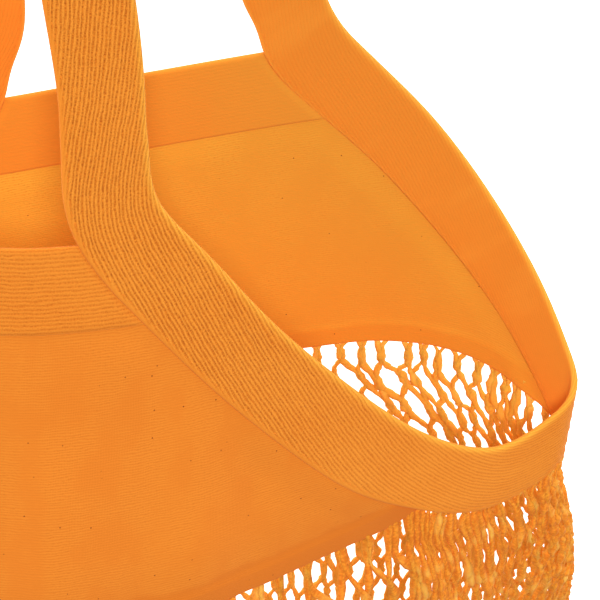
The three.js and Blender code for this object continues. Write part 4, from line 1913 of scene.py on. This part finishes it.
@dataclass
class Studio:
    """A white floor, soft light from above and behind the camera, and the camera itself."""

    form: BagForm
    turn: float = math.radians(9.608)
    rise: float = math.radians(38.108)
    roll: float = math.radians(1.53)
    distance: float = 615.1 * MM
    target: tuple[float, float, float] = (81.08 * MM, -59.4 * MM, 52.5 * MM)
    focal_pixels: float = 1736.8
    sensor: float = 36.0
    clip_start: float = 10 * MM
    floor_size: float = 12.0
    key_strength: float = 1.97
    key_angle: float = math.radians(22)
    key_direction: tuple[float, float, float] = (0.0, 0.6, 0.8)
    sky_strength: float = 0.45

    def build(self) -> None:
        """Sets up floor, light and camera."""
        self._floor()
        self._light()
        self._camera()

    def _floor(self) -> None:
        """Lays the floor."""
        half = self.floor_size / 2
        mesh = bpy.data.meshes.new("studio_floor")
        points = [(-half, -half, 0), (half, -half, 0), (half, half, 0), (-half, half, 0)]
        mesh.from_pydata(points, [], [(0, 1, 2, 3)])
        floor = bpy.data.objects.new("studio_floor", mesh)
        mesh.materials.append(PaleFloor().make())
        bpy.context.scene.collection.objects.link(floor)

    def _light(self) -> None:
        """Hangs a broad soft key light in a pale sky."""
        light = bpy.data.lights.new("soft_key", "SUN")
        light.energy = self.key_strength
        light.angle = self.key_angle
        lamp = bpy.data.objects.new("soft_key", light)
        lamp.rotation_mode = "QUATERNION"
        lamp.rotation_quaternion = Vector(self.key_direction).to_track_quat("Z", "Y")
        bpy.context.scene.collection.objects.link(lamp)
        world = bpy.data.worlds.new("pale_sky")
        world.use_nodes = True
        sky = world.node_tree.nodes["Background"]
        sky.inputs["Color"].default_value = WHITE
        sky.inputs["Strength"].default_value = self.sky_strength
        scene = bpy.context.scene
        scene.world = world
        scene.view_settings.view_transform = "Standard"

    def _camera(self) -> None:
        """Places the camera, looking down at the bag's mouth from the handles' side."""
        flat = math.cos(self.rise)
        back = Vector((-math.sin(self.turn) * flat, math.sin(self.rise), math.cos(self.turn) * flat))
        right = (-back).cross(Vector((0, 1, 0))).normalized()
        up = right.cross(-back)
        tilted_right = math.cos(self.roll) * right + math.sin(self.roll) * up
        tilted_up = math.cos(self.roll) * up - math.sin(self.roll) * right
        eye = Vector(self.form.origin) + Vector(self.target) + self.distance * back
        data = bpy.data.cameras.new("photo_view")
        data.sensor_width = self.sensor
        data.lens = self.sensor * self.focal_pixels / IMAGE_PIXELS
        data.clip_start = self.clip_start
        camera = bpy.data.objects.new("photo_view", data)
        axes = Matrix((tilted_right, tilted_up, back)).transposed()
        camera.matrix_world = Matrix.Translation(eye) @ axes.to_4x4()
        bpy.context.scene.collection.objects.link(camera)
        bpy.context.scene.camera = camera


def main() -> None:
    """Builds the bag's pieces in order and dresses them."""
    logging.basicConfig(level=logging.INFO, format="%(message)s")
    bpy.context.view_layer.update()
    form = BagForm()
    course = TapeCourse(form)
    Studio(form).build()
    tape = HandleTape(form, course)
    weaves = {Side.FRONT: PlainWeave().make(), Side.BACK: LIT_INNER_WEAVE.make()}
    tape_twill = TwillRib(
        "ribbed_twill_tape",
        rib_angle=math.radians(12.5),
        fold_at=2 * form.half_tape + tape.leaf,
        back_share=0.3,
        edge_highlight=0.35,
        fade_period=course.quarter_length,
        smooth_edge=2.8 * MM,
    )
    tape_finish = tape_twill.make()
    band_finish = BAND_TWILL.make()
    cord_finish = SoftYarn().make()
    panels = {side: ClothPanel(side, form, course) for side in Side}
    for side, panel in panels.items():
        panel.dress(panel.build(), weaves[side])
        band = TopBand(side, form, course, BAND_DEPTHS[side], BAND_LIPS[side])
        band.dress(band.build(), band_finish)
    tape.dress(tape.build(), tape_finish)
    stitching = Stitching(tape)
    stitching.dress(stitching.build(), SewingThread().make())
    net = NetBody(form, course, panels)
    net.dress(net.build(), cord_finish)
    foot = FootBinding(form)
    foot.dress(foot.build(), band_finish)
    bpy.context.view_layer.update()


if __name__ == "__main__":
    main()
